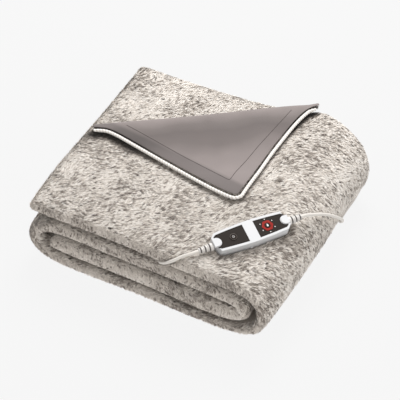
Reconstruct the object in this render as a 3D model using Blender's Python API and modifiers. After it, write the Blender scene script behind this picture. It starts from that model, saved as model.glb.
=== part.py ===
"""Electric heated blanket in long-pile plush, folded and rolled into a stack of four thick layers.

One corner of the top sheet is turned back, so that its smooth lining and its whip-stitched edge
cord show. The control handset lies on the front right of the stack, between its two leads.
Metres, +Z up, +X along the long front edge, +Y to the back, origin under the middle of the blanket.
"""

import math

import bmesh
import bpy
import numpy as np
from mathutils import Matrix, Vector

GAP = 0.0003  # between neighbouring pieces

# Stack of folded cloth
LEFT_END = -0.2285  # free end of the top layer
STACK_HEIGHT = 0.141
SPLAY = 0.125  # the stack is wider at its back: share of its width for each metre of depth
RUN_LEFT, RUN_RIGHT = -0.175, 0.140  # where the layers' sizes below are taken
FLOOR_SINK = 0.001  # taken off the underside, so that it lies flat
MIDDLE = Vector((-0.0051, 0.0149, 0.0))  # middle of the outline, which becomes the origin

# Layers from the floor up: lower and upper face, front rim and back rim, at either end of the run
LAYERS = {
    "bottom": dict(
        left=(-FLOOR_SINK, 0.0275, -0.1965, 0.2120),
        right=(-FLOOR_SINK, 0.0195, -0.1975, 0.2250),
    ),
    "third": dict(left=(0.0290, 0.0705, -0.1950, 0.2110), right=(0.0210, 0.0668, -0.1975, 0.2220)),
    "second": dict(left=(0.0720, 0.1080, -0.1960, 0.2140), right=(0.0682, 0.1055, -0.2000, 0.2240)),
    "top": dict(
        left=(0.1095, STACK_HEIGHT, -0.1965, 0.2155),
        right=(0.1070, STACK_HEIGHT, -0.2060, 0.2300),
    ),
}

# Turns between two layers: middle of the bend, its reach sideways, which side it is on, and at
# half its way the cloth's thickness and how far its back rim draws in
TURNS = {
    "outer": dict(
        layers=("top", "bottom"), x=0.160, reach=0.053, side=1, thick=0.024, tuck=0.017, points=7
    ),
    "left": dict(
        layers=("bottom", "second"), x=-0.183, reach=0.045, side=-1, thick=0.030, tuck=0.0, points=5
    ),
    "inner": dict(
        layers=("second", "third"), x=0.157, reach=0.021, side=1, thick=0.037, tuck=0.0, points=4
    ),
}

# The cloth's path from its free end on top to its end inside the roll
PATH = (
    dict(run="top", xs=(LEFT_END, -0.214, -0.182, -0.128, -0.068, -0.008, 0.052, 0.094, 0.120, 0.144)),
    dict(turn="outer"),
    dict(run="bottom", xs=(0.134, 0.080, 0.010, -0.060, -0.130)),
    dict(turn="left"),
    dict(run="second", xs=(-0.158, -0.100, -0.030, 0.040, 0.108)),
    dict(turn="inner"),
    dict(run="third", xs=(0.124, 0.050, -0.020, -0.090, -0.148, -0.182, -0.1960)),
)
RIM_STEPS = (0.0, 0.011, 0.040, 0.110)  # rows of the cloth's grid, measured in from each rim
MIDDLE_SHARES = (0.39, 0.58)  # rows between them, as shares of the way from front to back
RIM_FULLNESS = (0.66, 0.96)  # of the thickness, on the first rows of each rim

# Where the top layer's back rim comes out or draws in
BACK_PULLS = (
    dict(x=0.112, reach=0.020, by=0.0140),
    dict(x=-0.020, reach=0.075, by=-0.0085),
)

# Where the stack's ends come out: which end, the place along it, its reach and how far
BULGES = (
    dict(side=-1, y=-0.110, reach=0.060, by=0.0055),
    dict(side=1, y=-0.150, reach=0.120, by=0.0058),
    dict(side=1, y=0.0, reach=0.085, by=0.0062),
    dict(side=1, y=0.200, reach=0.040, by=0.0050),
)
BULGE_FROM, BULGE_FULL = 0.090, 0.200  # from the middle

# Soft highs and lows of the stack: place, radius and height
SWELLS = (
    dict(at=(-0.225, -0.190), radius=0.085, height=-0.0075),  # front left corner droops
    dict(at=(0.020, -0.205), radius=0.075, height=-0.0030),
    dict(at=(-0.120, 0.215), radius=0.070, height=-0.0030),
    dict(at=(0.060, 0.060), radius=0.110, height=0.0020),
    dict(at=(-0.090, -0.080), radius=0.080, height=0.0020),
    dict(at=(0.134, 0.222), radius=0.028, height=0.0100),  # the crease's end draws the pile up
    dict(at=(-0.150, 0.120), radius=0.060, height=-0.0020),  # a single sheet behind the crease
    dict(at=(0.132, -0.166), radius=0.036, height=-0.0080),  # the handset lies on a slope
    dict(at=(0.168, -0.126), radius=0.036, height=-0.0095),
    dict(at=(0.206, -0.036), radius=0.045, height=0.0105),
)

# Turned-back corner. Its crease runs from the left edge to the back edge, and stands above the
# stack's plain height. Its edge runs from the crease's left end round the tip to its right end.
CREASE = (
    dict(at=(-0.2110, 0.0040), rise=0.0085),
    dict(at=(-0.1915, 0.0177), rise=0.0105),
    dict(at=(-0.0600, 0.1070), rise=0.0130),
    dict(at=(0.0620, 0.1980), rise=0.0135),
    dict(at=(0.1150, 0.2330), rise=0.0120),
)
EDGE_LEFT = (
    (-0.2102, -0.0024), (-0.1968, 0.0038), (-0.1880, 0.0067), (-0.1787, 0.0072), (-0.1563, 0.0031),
    (-0.1109, -0.0073), (-0.0661, -0.0176), (-0.0228, -0.0268), (0.0194, -0.0353), (0.0599, -0.0418),
)
TIP = (0.0938, -0.0436)
EDGE_RIGHT = (
    (0.0938, -0.0020), (0.0944, 0.0398), (0.0936, 0.0821), (0.0945, 0.1273), (0.0955, 0.1600),
    (0.0987, 0.1884), (0.1030, 0.2125), (0.1093, 0.2220), (0.1182, 0.2284),
)
TIP_ROUNDING = 0.011
PLUSH_SHEET = 0.0062  # one sheet of plush, pile and all
LINING_SHEET = 0.0018
SHEET_LIFT = 0.0020  # between the turned-back corner and the plush under it
LINING_LIFT = 0.0020  # from the plush behind the crease to where the lining ends
CREASE_SETTLE = 0.070  # how far in front of the crease the sheet still stands up
ROLL_REACH = 0.0015  # inside radius of the crease
ROLL_SINK = 0.0030  # how far the plush of the crease reaches into the stack

# Edge cord with its whip stitches
CORD_EDGE_RADIUS = 0.0029
STITCH_PITCH = 0.0056
STITCH_DEPTH = 0.0006
EDGE_ROW = CORD_EDGE_RADIUS + 4 * GAP  # from the sheets' edge to the middle of the cord
SHEET_LEAST = 0.0008  # the sheets stop where they would reach less than this from the crease

# Handset: its own X runs along it, towards its dial
HANDSET_AT = Vector((0.1427, -0.0999, 0.1344))  # middle of its underside
HANDSET_TURN = math.radians(52.8)
HANDSET_ROLL = math.radians(16.5)  # long edge at the front lower
HANDSET_HALF = 0.0672  # half its length
HANDSET_WIDE = 0.0206  # half its width at the middle
HANDSET_END = 0.0167  # half its width at the ends
HANDSET_CHAMFER = 0.0075  # of the ends' corners
BASE_HEIGHT = 0.0088
COVER_FROM, COVER_HEIGHT = 0.0091, 0.0185
SHELL_ROUND = 0.0022
BED_ROOM = 0.0028  # round the handset, where it presses into the pile
BAND_HALF = 0.0095  # half the width of the band between the two displays
DISPLAY_END = 0.0629  # outer ends of the displays, from the middle
DISPLAY_MARGIN = 0.0041  # white rim beside the displays
DISPLAY_DEPTH = 0.0012
NOTCH_AT, NOTCH_RADIUS = 0.0615, 0.0085
TONGUE_RADIUS, TONGUE_HEIGHT = 0.0076, 0.0012
DIAL_AT = 0.0292
DIAL_RING = (0.0052, 0.0098)  # inner and outer radius of the lit ring
DIAL_LOBES = 6
DIAL_PROUD = 0.0004
DOT_CIRCLE, DOT_RADIUS = 0.0123, 0.0009
POWER_AT, POWER_RADIUS = -0.0320, 0.0056
SLIDER_AT = -0.0070
SLIDER_SIZE = (0.0040, 0.0016, 0.0030)
LAMP_AT, LAMP_RADIUS, LAMP_DEPTH = 0.0093, 0.0012, 0.0025

# Strain reliefs, one at either end of the handset
RELIEF_AXIS = 0.0093  # above the handset's underside
RELIEF_LENGTH = 0.0250
RELIEF_RADIUS = (0.0068, 0.0046)
RELIEF_COLLAR = 0.0060
RELIEF_RIBS = 5
RIB_DEPTH = 0.0013

# Leads
LEAD_RADIUS = 0.0028
LEAD_STEP = 0.0100
CHANNEL_ROOM = 0.0014  # round the lead, where it presses into the pile
# From the left relief over the front rim and in between the two upper layers
BLANKET_ROUTE = (
    (0.0690, -0.1938, 0.1385),
    (0.0560, -0.2018, 0.1300),
    (0.0420, -0.2010, 0.1180),
    (0.0290, -0.1950, 0.1090),
    (0.0170, -0.1840, 0.1078),
    (0.0080, -0.1720, 0.1080),
)
# From the right relief down the round side, along the floor and round to the coil
MAINS_ROUTE = (
    (0.2122, 0.0039, 0.1268),
    (0.2162, 0.0163, 0.1185),
    (0.2209, 0.0270, 0.1110),
    (0.2256, 0.0385, 0.1016),
    (0.2297, 0.0519, 0.0889),
    (0.2316, 0.0617, 0.0786),
    (0.2323, 0.0700, 0.0700),
    (0.2319, 0.0791, 0.0602),
    (0.2308, 0.0860, 0.0520),
    (0.2284, 0.0925, 0.0425),
    (0.2236, 0.1010, 0.0320),
    (0.2182, 0.1110, 0.0210),
    (0.2128, 0.1220, 0.0115),
    (0.2097, 0.1360, 0.0046),
    (0.2090, 0.1600, 0.0031),
    (0.2100, 0.2000, 0.0031),
    (0.2050, 0.2420, 0.0031),
    (0.1880, 0.2740, 0.0031),
    (0.1640, 0.2990, 0.0031),
)
COIL_AT = Vector((0.1050, 0.2850))
MAINS_MEETS = (38.0, 58.0, 78.0)  # degrees round the coil where the mains lead lies against it
TAIL_LEAVES = (104.0, 120.0, 136.0)
TAIL_HEIGHTS = (0.0095, 0.0080, 0.0052)
COIL_MEAN = 0.0310  # radius at the middle of the turns
COIL_ACROSS, COIL_DEEP = 4, 2  # turns side by side, and on each other
COIL_FLOOR = 0.0016
TIE_THICK, TIE_WIDE = 0.0007, 0.0060
PLUG_AT = Vector((-0.0200, 0.2690, 0.0070))
PLUG_TURN = math.radians(196.0)
PLUG_SIZE = (0.0340, 0.0262, 0.0136)
PLUG_ROUND = 0.0045
PLUG_RELIEF_LENGTH = 0.0220
PIN_RADIUS, PIN_LENGTH, PIN_APART = 0.0020, 0.0190, 0.0186
TAIL_ROUTE = ((0.0520, 0.2995, 0.0032), (0.0370, 0.2890, 0.0050))

COLOURS = {
    "plush": ((0.66, 0.61, 0.55), 0.95, 0.0),
    "lining": ((0.29, 0.255, 0.245), 0.80, 0.0),
    "edge_yarn": ((0.80, 0.76, 0.71), 0.85, 0.0),
    "white_shell": ((0.82, 0.83, 0.83), 0.30, 0.0),
    "display": ((0.030, 0.025, 0.023), 0.12, 0.0),
    "red_light": ((0.55, 0.030, 0.025), 0.40, 0.0),
    "pale_mark": ((0.75, 0.72, 0.70), 0.40, 0.0),
    "lead": ((0.74, 0.69, 0.64), 0.42, 0.0),
    "tie": ((0.05, 0.05, 0.05), 0.60, 0.0),
    "pin_metal": ((0.75, 0.75, 0.74), 0.25, 1.0),
}


# ---------------------------------------------------------------- scene helpers

def clear_scene():
    for item in list(bpy.data.objects):
        bpy.data.objects.remove(item, do_unlink=True)


def new_collection(name):
    group = bpy.data.collections.new(name)
    bpy.context.scene.collection.children.link(group)
    return group


def material(name):
    found = bpy.data.materials.get(name)
    if found:
        return found
    colour, roughness, metallic = COLOURS[name]
    made = bpy.data.materials.new(name)
    made.use_nodes = True
    shader = made.node_tree.nodes["Principled BSDF"]
    shader.inputs["Base Color"].default_value = (*colour, 1.0)
    shader.inputs["Roughness"].default_value = roughness
    shader.inputs["Metallic"].default_value = metallic
    return made


def add_object(name, data, group, finish=None):
    made = bpy.data.objects.new(name, data)
    group.objects.link(made)
    if finish:
        data.materials.append(material(finish))
    return made


def mesh_object(name, shape, group, finish=None):
    """An object from a bmesh, which is freed."""
    bmesh.ops.recalc_face_normals(shape, faces=shape.faces)
    data = bpy.data.meshes.new(name)
    shape.to_mesh(data)
    shape.free()
    return add_object(name, data, group, finish)


def as_cutter(item):
    item.hide_render = True
    item.display_type = "WIRE"
    return item


def boolean(item, cutter, operation):
    step = item.modifiers.new(operation.lower(), "BOOLEAN")
    step.operation = operation
    step.object = cutter
    step.solver = "EXACT"
    return step


def smooth(item, angle=40.0):
    item.data.shade_smooth()
    item.data.set_sharp_from_angle(angle=math.radians(angle))


def mix(a, b, share):
    return a + (b - a) * share


def ease(share):
    share = min(max(share, 0.0), 1.0)
    return share * share * (3.0 - 2.0 * share)


# ---------------------------------------------------------------- the folded stack

def bell(away, reach):
    return math.exp(-(away / reach) ** 2)


def swell(x, y):
    """How far the stack's top lies above or below its plain height."""
    spots = [((Vector((x, y)) - Vector(row["at"])).length, row) for row in SWELLS]
    return sum(row["height"] * bell(away, row["radius"]) for away, row in spots)


def spread(x, y):
    """X of a place of the stack, with its splay and its bulging ends."""
    total = x * (1.0 + SPLAY * y)
    for row in BULGES:
        share = (row["side"] * x - BULGE_FROM) / (BULGE_FULL - BULGE_FROM)
        total += row["side"] * row["by"] * ease(share) * bell(y - row["y"], row["reach"])
    return total


def stretch(x, y):
    return 1.0 + swell(x, y) / STACK_HEIGHT


def top_height(x, y):
    return STACK_HEIGHT * stretch(x, y)


def run_station(name, x):
    """X, height of the middle, thickness, front and back of a layer."""
    share = (x - RUN_LEFT) / (RUN_RIGHT - RUN_LEFT)
    row = LAYERS[name]
    low, high, front, back = [mix(a, b, share) for a, b in zip(row["left"], row["right"])]
    if name == "top":
        back += sum(pull["by"] * bell(x - pull["x"], pull["reach"]) for pull in BACK_PULLS)
    return x, (low + high) / 2.0, high - low, front, back


def turn_stations(name):
    """Stations round a bend, from its first layer to its second."""
    row = TURNS[name]
    first = run_station(row["layers"][0], row["x"])
    last = run_station(row["layers"][1], row["x"])
    middle, rise = (first[1] + last[1]) / 2.0, (first[1] - last[1]) / 2.0
    found = []
    for k in range(row["points"]):
        share = (k + 0.5) / row["points"]
        turn = math.pi * share
        thick = mix(mix(first[2], last[2], share), row["thick"], math.sin(turn))
        x = row["x"] + row["side"] * row["reach"] * math.sin(turn)
        front, back = [mix(a, b, share) for a, b in zip(first[3:], last[3:])]
        back -= row["tuck"] * math.sin(turn)
        found.append((x, middle + rise * math.cos(turn), thick, front, back))
    return found


def cloth_stations():
    found = []
    for row in PATH:
        if "run" in row:
            found += [run_station(row["run"], x) for x in row["xs"]]
        else:
            found += turn_stations(row["turn"])
    return found


def rim_rows(front, back):
    """Y of each row of the grid, front to back."""
    middle = [mix(front, back, share) for share in MIDDLE_SHARES]
    return [front + s for s in RIM_STEPS] + middle + [back - s for s in reversed(RIM_STEPS)]


def rim_fullness(k, count):
    """Share of the thickness at row k of a grid that is count rows wide."""
    inward = min(k, count - 1 - k)
    return RIM_FULLNESS[inward] if inward < len(RIM_FULLNESS) else 1.0


def make_stack(group):
    stations = cloth_stations()
    most = 1.1 * max(station[2] for station in stations)
    rows = 2 * len(RIM_STEPS) + len(MIDDLE_SHARES)
    shape = bmesh.new()
    bmesh.ops.create_grid(shape, x_segments=len(stations) - 1, y_segments=rows - 1, size=0.5)
    weights = shape.verts.layers.deform.new()
    for corner in shape.verts:
        i = round((corner.co.x + 0.5) * (len(stations) - 1))
        j = round((corner.co.y + 0.5) * (rows - 1))
        x, height, thick, front, back = stations[i]
        y = rim_rows(front, back)[j] + 0.0016 * math.sin(1.7 * i)  # folds not quite in line
        scale = stretch(x, y)
        fullness = min(rim_fullness(i, len(stations)), rim_fullness(j, rows))
        corner.co = (spread(x, y), y, height * scale)
        corner[weights][0] = thick * scale * fullness / most
    body = mesh_object("plush_blanket", shape, group, "plush")
    body.data.shade_smooth()
    body.vertex_groups.new(name="fullness")
    solid = body.modifiers.new("fullness", "SOLIDIFY")
    solid.thickness = most
    solid.offset = 0.0
    solid.vertex_group = "fullness"
    soft = body.modifiers.new("soft", "SUBSURF")
    soft.levels = 1
    soft.render_levels = 1
    return body


# ---------------------------------------------------------------- the turned-back corner

CREASE_WAY = (Vector(CREASE[-1]["at"]) - Vector(CREASE[0]["at"])).normalized()
FORWARD = Vector((CREASE_WAY.y, -CREASE_WAY.x))  # from the crease towards the tip


def smooth_route(points, step):
    """A smooth curve through points, as points a step apart."""
    ends = [2 * points[0] - points[1]] + list(points) + [2 * points[-1] - points[-2]]
    dense = []
    for a, b, c, d in zip(ends, ends[1:], ends[2:], ends[3:]):
        for k in range(24):
            t = k / 24.0
            bend = (2 * a - 5 * b + 4 * c - d) * t * t + (3 * b - 3 * c + d - a) * t ** 3
            dense.append((2 * b + (c - a) * t + bend) / 2.0)
    return walk(dense + [points[-1]], step)


def walk(points, step):
    """Points a step apart along a line of many points."""
    marks = np.array([p[:] for p in points])
    done = np.concatenate([[0.0], np.cumsum(np.linalg.norm(np.diff(marks, axis=0), axis=1))])
    count = max(int(round(done[-1] / step)), 1)
    at = np.linspace(0.0, done[-1], count + 1)
    return [Vector([np.interp(s, done, column) for column in marks.T]) for s in at]


def crease_line():
    """Along, out and rise of the crease, at many points."""
    marks = [Vector((*row["at"], row["rise"])) for row in CREASE]
    line = smooth_route(marks, 0.004)
    return np.array([(p.xy.dot(CREASE_WAY), p.xy.dot(FORWARD), p.z) for p in line])


def edge_line():
    """Along and out of the corner's edge, with the tip rounded."""
    left = smooth_route([Vector(p) for p in (*EDGE_LEFT, TIP)], 0.001)
    right = smooth_route([Vector(p) for p in (TIP, *EDGE_RIGHT)], 0.001)
    line = np.array([p[:] for p in left + right[1:]])
    reach = int(TIP_ROUNDING / 0.001)
    rounded = line.copy()
    for k in range(reach, len(line) - reach):
        rounded[k] = line[k - reach : k + reach + 1].mean(axis=0)
    return np.array([(Vector(p).dot(CREASE_WAY), Vector(p).dot(FORWARD)) for p in rounded])


def moved_in(line, room):
    """The corner's edge moved in by a distance across it."""
    way = np.gradient(line, axis=0)
    way /= np.linalg.norm(way, axis=1)[:, None]
    return line + room * np.column_stack([way[:, 1], -way[:, 0]])


CREASE_LINE = crease_line()
EDGE_LINE = edge_line()
SHEET_LINE = moved_in(EDGE_LINE, EDGE_ROW)
TIP_ALONG = EDGE_LINE[EDGE_LINE[:, 1].argmax(), 0]


def crease_at(along):
    """Out and rise of the crease."""
    return [float(np.interp(along, CREASE_LINE[:, 0], CREASE_LINE[:, k])) for k in (1, 2)]


def corner_reach(along, line=EDGE_LINE):
    """How far the corner reaches in front of its crease."""
    return float(np.interp(along, line[:, 0], line[:, 1])) - crease_at(along)[0]


def corner_point(along, out, level):
    """A point of the corner: along its crease, out from it, level above the plush's underside."""
    start, rise = crease_at(along)
    place = CREASE_WAY * along + FORWARD * (start + out)
    lying = top_height(*place) + SHEET_LIFT
    standing = max(STACK_HEIGHT + rise - PLUSH_SHEET - LINING_SHEET - GAP, lying)
    return Vector((*place, mix(standing, lying, ease(out / CREASE_SETTLE)) + level))


def roll_point(along, turn, level):
    """A point round the back of the crease: turn runs from 0 on top to 1 at its foot."""
    top = corner_point(along, 0.0, level)
    foot = min(top_height(top.x, top.y) - ROLL_SINK, top.z - 2.0 * (ROLL_REACH + level))
    sideways = FORWARD * (-(ROLL_REACH + level) * math.sin(math.pi * turn))
    height = mix(foot, top.z, (1.0 + math.cos(math.pi * turn)) / 2.0)
    return Vector((top.x + sideways.x, top.y + sideways.y, height))


def roll_end_above(along, level, above):
    """How far round the crease a level gets until it is this far above the stack."""
    top, foot = roll_point(along, 0.0, level), roll_point(along, 1.0, level)
    share = (top_height(foot.x, foot.y) + above - foot.z) / (top.z - foot.z)
    return math.acos(min(max(2.0 * share - 1.0, -1.0), 1.0)) / math.pi


def corner_stations():
    marks = np.linspace(CREASE_LINE[0, 0], CREASE_LINE[-1, 0], 600)
    wide = [mark for mark in marks if corner_reach(mark, SHEET_LINE) > SHEET_LEAST]
    even = list(np.linspace(wide[0], wide[-1], 17))
    near_tip = [TIP_ALONG + shift for shift in (-0.016, -0.006, 0.0, 0.006, 0.014)]
    near_left = [wide[0] + shift for shift in (0.008, 0.0165, 0.038)]
    near_right = [wide[-1] - shift for shift in (0.006, 0.012, 0.018, 0.036)]
    return sorted(even + near_tip + near_left + near_right)


def corner_sheet(name, low, high, above, group, finish):
    """A closed sheet between two levels, over the corner and round its crease.

    It ends this far above the stack behind the crease.
    """
    outs = (0.0, 0.10, 0.25, 0.45, 0.70, 1.0)
    shape = bmesh.new()
    grid = []
    for along in corner_stations():
        reach = corner_reach(along, SHEET_LINE)
        section = []
        roll_end = roll_end_above(along, high, above)
        rolls = [roll_end * share for share in (0.25, 0.5, 0.75, 1.0)]
        for level in (low, high):
            over = [corner_point(along, reach * out, level) for out in outs]
            back = [roll_point(along, turn, level) for turn in rolls]
            section.append([shape.verts.new(p) for p in list(reversed(back)) + over])
        grid.append(section[0] + section[1][::-1])
    for one, two in zip(grid, grid[1:]):
        for a, b in zip(range(len(one)), list(range(1, len(one))) + [0]):
            shape.faces.new((one[a], one[b], two[b], two[a]))
    half = len(grid[0]) // 2
    for loop in (grid[0], grid[-1]):
        for k in range(half - 1):
            shape.faces.new((loop[k], loop[k + 1], loop[-2 - k], loop[-1 - k]))
    bmesh.ops.remove_doubles(shape, verts=shape.verts, dist=0.00005)
    bmesh.ops.triangulate(shape, faces=shape.faces, quad_method="SHORT_EDGE")
    made = mesh_object(name, shape, group, finish)
    smooth(made, 60.0)
    return made


def edge_route(step):
    """Points along the corner's edge, from the left end of the crease round the tip."""
    dense = []
    for along in np.linspace(CREASE_LINE[0, 0], CREASE_LINE[-1, 0], 1200):
        level = (PLUSH_SHEET + LINING_SHEET) / 2.0
        dense.append(corner_point(along, corner_reach(along), level))
    return walk(dense, step)


def tube(name, points, radius, group, finish, sides=2, radii=None):
    """A round tube on a poly spline, with filled caps."""
    line = bpy.data.curves.new(name, "CURVE")
    line.dimensions = "3D"
    line.bevel_depth = radius
    line.bevel_resolution = sides
    line.use_fill_caps = True
    spline = line.splines.new("POLY")
    spline.points.add(len(points) - 1)
    for k, place in enumerate(points):
        spline.points[k].co = (*place, 1.0)
        spline.points[k].radius = radii[k] if radii else 1.0
    return add_object(name, line, group, finish)


def make_edge_cord(group):
    places = edge_route(STITCH_PITCH / 2.0)
    waist = 1.0 - STITCH_DEPTH / CORD_EDGE_RADIUS
    radii = [waist if k % 2 else 1.0 for k in range(len(places))]
    tube("edge_cord", places, CORD_EDGE_RADIUS, group, "edge_yarn", sides=1, radii=radii)


# ---------------------------------------------------------------- plates and turned pieces

def plate(name, outline, low, high, group, finish=None):
    """A flat plate between two heights, from a filled 2D curve, as a welded mesh."""
    line = bpy.data.curves.new(name, "CURVE")
    line.dimensions = "2D"
    line.fill_mode = "BOTH"
    line.extrude = (high - low) / 2.0
    spline = line.splines.new("POLY")
    spline.points.add(len(outline) - 1)
    spline.use_cyclic_u = True
    for point, (x, y) in zip(spline.points, outline):
        point.co = (x, y, 0.0, 1.0)
    guide = bpy.data.objects.new(name, line)
    guide.location.z = (low + high) / 2.0
    return meshed(guide, name, group, finish)


def meshed(guide, name, group, finish=None):
    """A mesh object in place of a curve, with its caps welded."""
    bpy.context.scene.collection.objects.link(guide)
    bpy.context.view_layer.update()
    seen = guide.evaluated_get(bpy.context.evaluated_depsgraph_get())
    data = bpy.data.meshes.new_from_object(seen)
    place = guide.matrix_world.copy()
    bpy.data.objects.remove(guide, do_unlink=True)
    shape = bmesh.new()
    shape.from_mesh(data)
    bpy.data.meshes.remove(data)
    bmesh.ops.remove_doubles(shape, verts=shape.verts, dist=0.00002)
    bmesh.ops.transform(shape, matrix=place, verts=shape.verts)
    return mesh_object(name, shape, group, finish)


def turned(name, profile, steps, group, finish, ring=False):
    """A turned solid about Z: its profile is (radius, height), from its top down.

    A ring's profile comes back to its start.
    """
    shape = bmesh.new()
    corners = [shape.verts.new((radius, 0.0, height)) for radius, height in profile]
    for a, b in zip(corners, corners[1:] + (corners[:1] if ring else [])):
        shape.edges.new((a, b))
    made = mesh_object(name, shape, group, finish)
    screw = made.modifiers.new("turn", "SCREW")
    screw.steps = steps
    screw.render_steps = steps
    screw.use_merge_vertices = True
    screw.merge_threshold = 0.00002
    screw.use_smooth_shade = True
    return made


def bevel(item, width, segments=2, angle=50.0):
    step = item.modifiers.new("rounding", "BEVEL")
    step.width = width
    step.segments = segments
    step.limit_method = "ANGLE"
    step.angle_limit = math.radians(angle)
    return step


def arc(centre, radius, start, stop, count):
    """Points round an arc, its angles in degrees."""
    turns = np.radians(np.linspace(start, stop, count))
    return [(centre[0] + radius * math.cos(t), centre[1] + radius * math.sin(t)) for t in turns]


# ---------------------------------------------------------------- handset

def handset_half_width(x):
    share = min(abs(x) / HANDSET_HALF, 1.0)
    return mix(HANDSET_WIDE, HANDSET_END, share ** 1.6)


def handset_outline(grow=0.0):
    """Corners anticlockwise, with chamfered ends."""
    end, start = HANDSET_HALF + grow, HANDSET_HALF - HANDSET_CHAMFER + grow * 0.4
    side = [(x, handset_half_width(x) + grow) for x in np.linspace(start, -start, 9)]
    nose = (-end, HANDSET_END - HANDSET_CHAMFER * 0.9 + grow * 0.4)
    upper = side + [nose]
    return upper + [(-x, -y) for x, y in upper]


def display_outline(side, shrink=0.0):
    """One display's outline: side is 1 for the dial's end and -1 for the other."""
    inner, outer = BAND_HALF + shrink, DISPLAY_END - shrink
    radius = NOTCH_RADIUS + shrink
    mouth = math.degrees(math.acos((outer - NOTCH_AT) / radius))
    shoulder = outer - 0.0045
    width = [handset_half_width(x) - DISPLAY_MARGIN - shrink for x in (inner, 0.035, shoulder)]
    notch = arc((NOTCH_AT, 0.0), radius, -mouth, mouth - 360.0, 9)
    points = [(inner, -width[0]), (0.035, -width[1]), (shoulder, -width[2])]
    points += [(outer, -width[2] + 0.0030)] + notch + [(outer, width[2] - 0.0030)]
    points += [(shoulder, width[2]), (0.035, width[1]), (inner, width[0])]
    if side < 0:
        points = [(-x, y) for x, y in reversed(points)]
    return points


def lobed_ring(name, group):
    """The dial's lit ring, with a lobe for each setting."""
    inner, outer = DIAL_RING
    shape = bmesh.new()
    steps = DIAL_LOBES * 6
    rings = []
    for k in range(steps):
        turn = math.tau * k / steps
        wave = 0.5 + 0.5 * math.cos(DIAL_LOBES * turn)
        way = Vector((math.cos(turn), math.sin(turn), 0.0))
        reach = mix(outer - 0.0011, outer, wave)
        low, high = GAP, GAP + DIAL_PROUD
        corners = ((inner, low), (reach, low), (reach, high), (inner, high))
        rings.append([shape.verts.new(way * r + Vector((0, 0, z))) for r, z in corners])
    for one, two in zip(rings, rings[1:] + rings[:1]):
        for a, b in zip(range(4), (1, 2, 3, 0)):
            shape.faces.new((one[a], one[b], two[b], two[a]))
    return mesh_object(name, shape, group, "red_light")


def on_frame(item, frame, x=0.0, y=0.0, z=0.0, turn=None):
    item.parent = frame
    item.location = (x, y, z)
    if turn:
        item.rotation_euler = turn
    return item


def make_handset(group, cutters):
    frame = bpy.data.objects.new("handset_frame", None)
    group.objects.link(frame)
    frame.location = HANDSET_AT
    frame.rotation_euler = (HANDSET_ROLL, 0.0, HANDSET_TURN)

    base = plate("handset_base", handset_outline(), 0.0, BASE_HEIGHT, group, "white_shell")
    lamp = turned("lamp_bore", ((0, 0.002), (LAMP_RADIUS, 0.002), (LAMP_RADIUS, -LAMP_DEPTH),
                                (0, -LAMP_DEPTH)), 10, cutters, None)
    side = -handset_half_width(LAMP_AT)
    on_frame(as_cutter(lamp), frame, LAMP_AT, side, BASE_HEIGHT * 0.55, (math.pi / 2, 0, 0))
    bevel(base, SHELL_ROUND)
    boolean(base, lamp, "DIFFERENCE")
    on_frame(base, frame)

    cover = plate("handset_cover", handset_outline(), COVER_FROM, COVER_HEIGHT, group, "white_shell")
    bevel(cover, SHELL_ROUND)
    floor = COVER_HEIGHT - DISPLAY_DEPTH
    for side, name in ((-1, "left"), (1, "right")):
        outline = display_outline(side)
        recess = plate("recess_" + name, outline, floor, COVER_HEIGHT + 0.002, cutters)
        boolean(cover, on_frame(as_cutter(recess), frame), "DIFFERENCE")
        inset = display_outline(side, GAP)
        glass = plate("display_" + name, inset, floor + GAP, COVER_HEIGHT - 0.0001, group, "display")
        on_frame(glass, frame)
    for side, name in ((-1, "left"), (1, "right")):
        outer = arc((0.0, 0.0), TONGUE_RADIUS, 90.0, 270.0, 9)
        long = HANDSET_HALF - NOTCH_AT
        outline = [(side * x, y) for x, y in outer + [(long, -TONGUE_RADIUS), (long, TONGUE_RADIUS)]]
        if side < 0:
            outline.reverse()
        top = COVER_HEIGHT + TONGUE_HEIGHT
        tongue = plate("tongue_" + name, outline, COVER_HEIGHT - 0.004, top, cutters)
        bevel(tongue, TONGUE_HEIGHT * 0.9)
        on_frame(as_cutter(tongue), frame, side * (NOTCH_AT + 0.0001))
        boolean(cover, tongue, "UNION")
    on_frame(cover, frame)

    glass_top = COVER_HEIGHT - 0.0001
    on_frame(lobed_ring("dial_ring", group), frame, DIAL_AT, 0.0, glass_top)
    for name, x, radius, finish in (
        ("dial_button", DIAL_AT, DIAL_RING[0] - 2 * GAP, "display"),
        ("power_button", POWER_AT, POWER_RADIUS, "display"),
    ):
        low, high = GAP, GAP + 2 * DIAL_PROUD
        rim = ((0, high), (radius * 0.8, high), (radius, high - 0.0003), (radius, low), (0, low))
        on_frame(turned(name, rim, 20, group, finish), frame, x, 0.0, glass_top)
    for k in range(DIAL_LOBES):
        turn = math.tau * (k + 0.5) / DIAL_LOBES
        low, high = GAP, GAP + DIAL_PROUD
        rim = ((0, high), (DOT_RADIUS, high), (DOT_RADIUS, low), (0, low))
        dot = turned(f"dial_dot_{k + 1}", rim, 8, group, "pale_mark")
        across = DOT_CIRCLE * math.sin(turn)
        on_frame(dot, frame, DIAL_AT + DOT_CIRCLE * math.cos(turn), across, glass_top)
    wide, deep, tall = SLIDER_SIZE
    outline = [(-wide / 2, 0.0), (wide / 2, 0.0), (wide / 2, deep), (-wide / 2, deep)]
    slider = plate("side_slider", outline, -tall / 2, tall / 2, group, "white_shell")
    bevel(slider, 0.0006)
    edge = -handset_half_width(SLIDER_AT) - deep - GAP
    on_frame(slider, frame, SLIDER_AT, edge - 0.0001, BASE_HEIGHT * 0.55)
    for side, name in ((-1, "left"), (1, "right")):
        relief = turned("relief_" + name, relief_profile(RELIEF_LENGTH), 12, group, "lead")
        turn = (0.0, side * math.pi / 2, 0.0)
        on_frame(relief, frame, side * (HANDSET_HALF + GAP), 0.0, RELIEF_AXIS, turn)
    return frame


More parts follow.
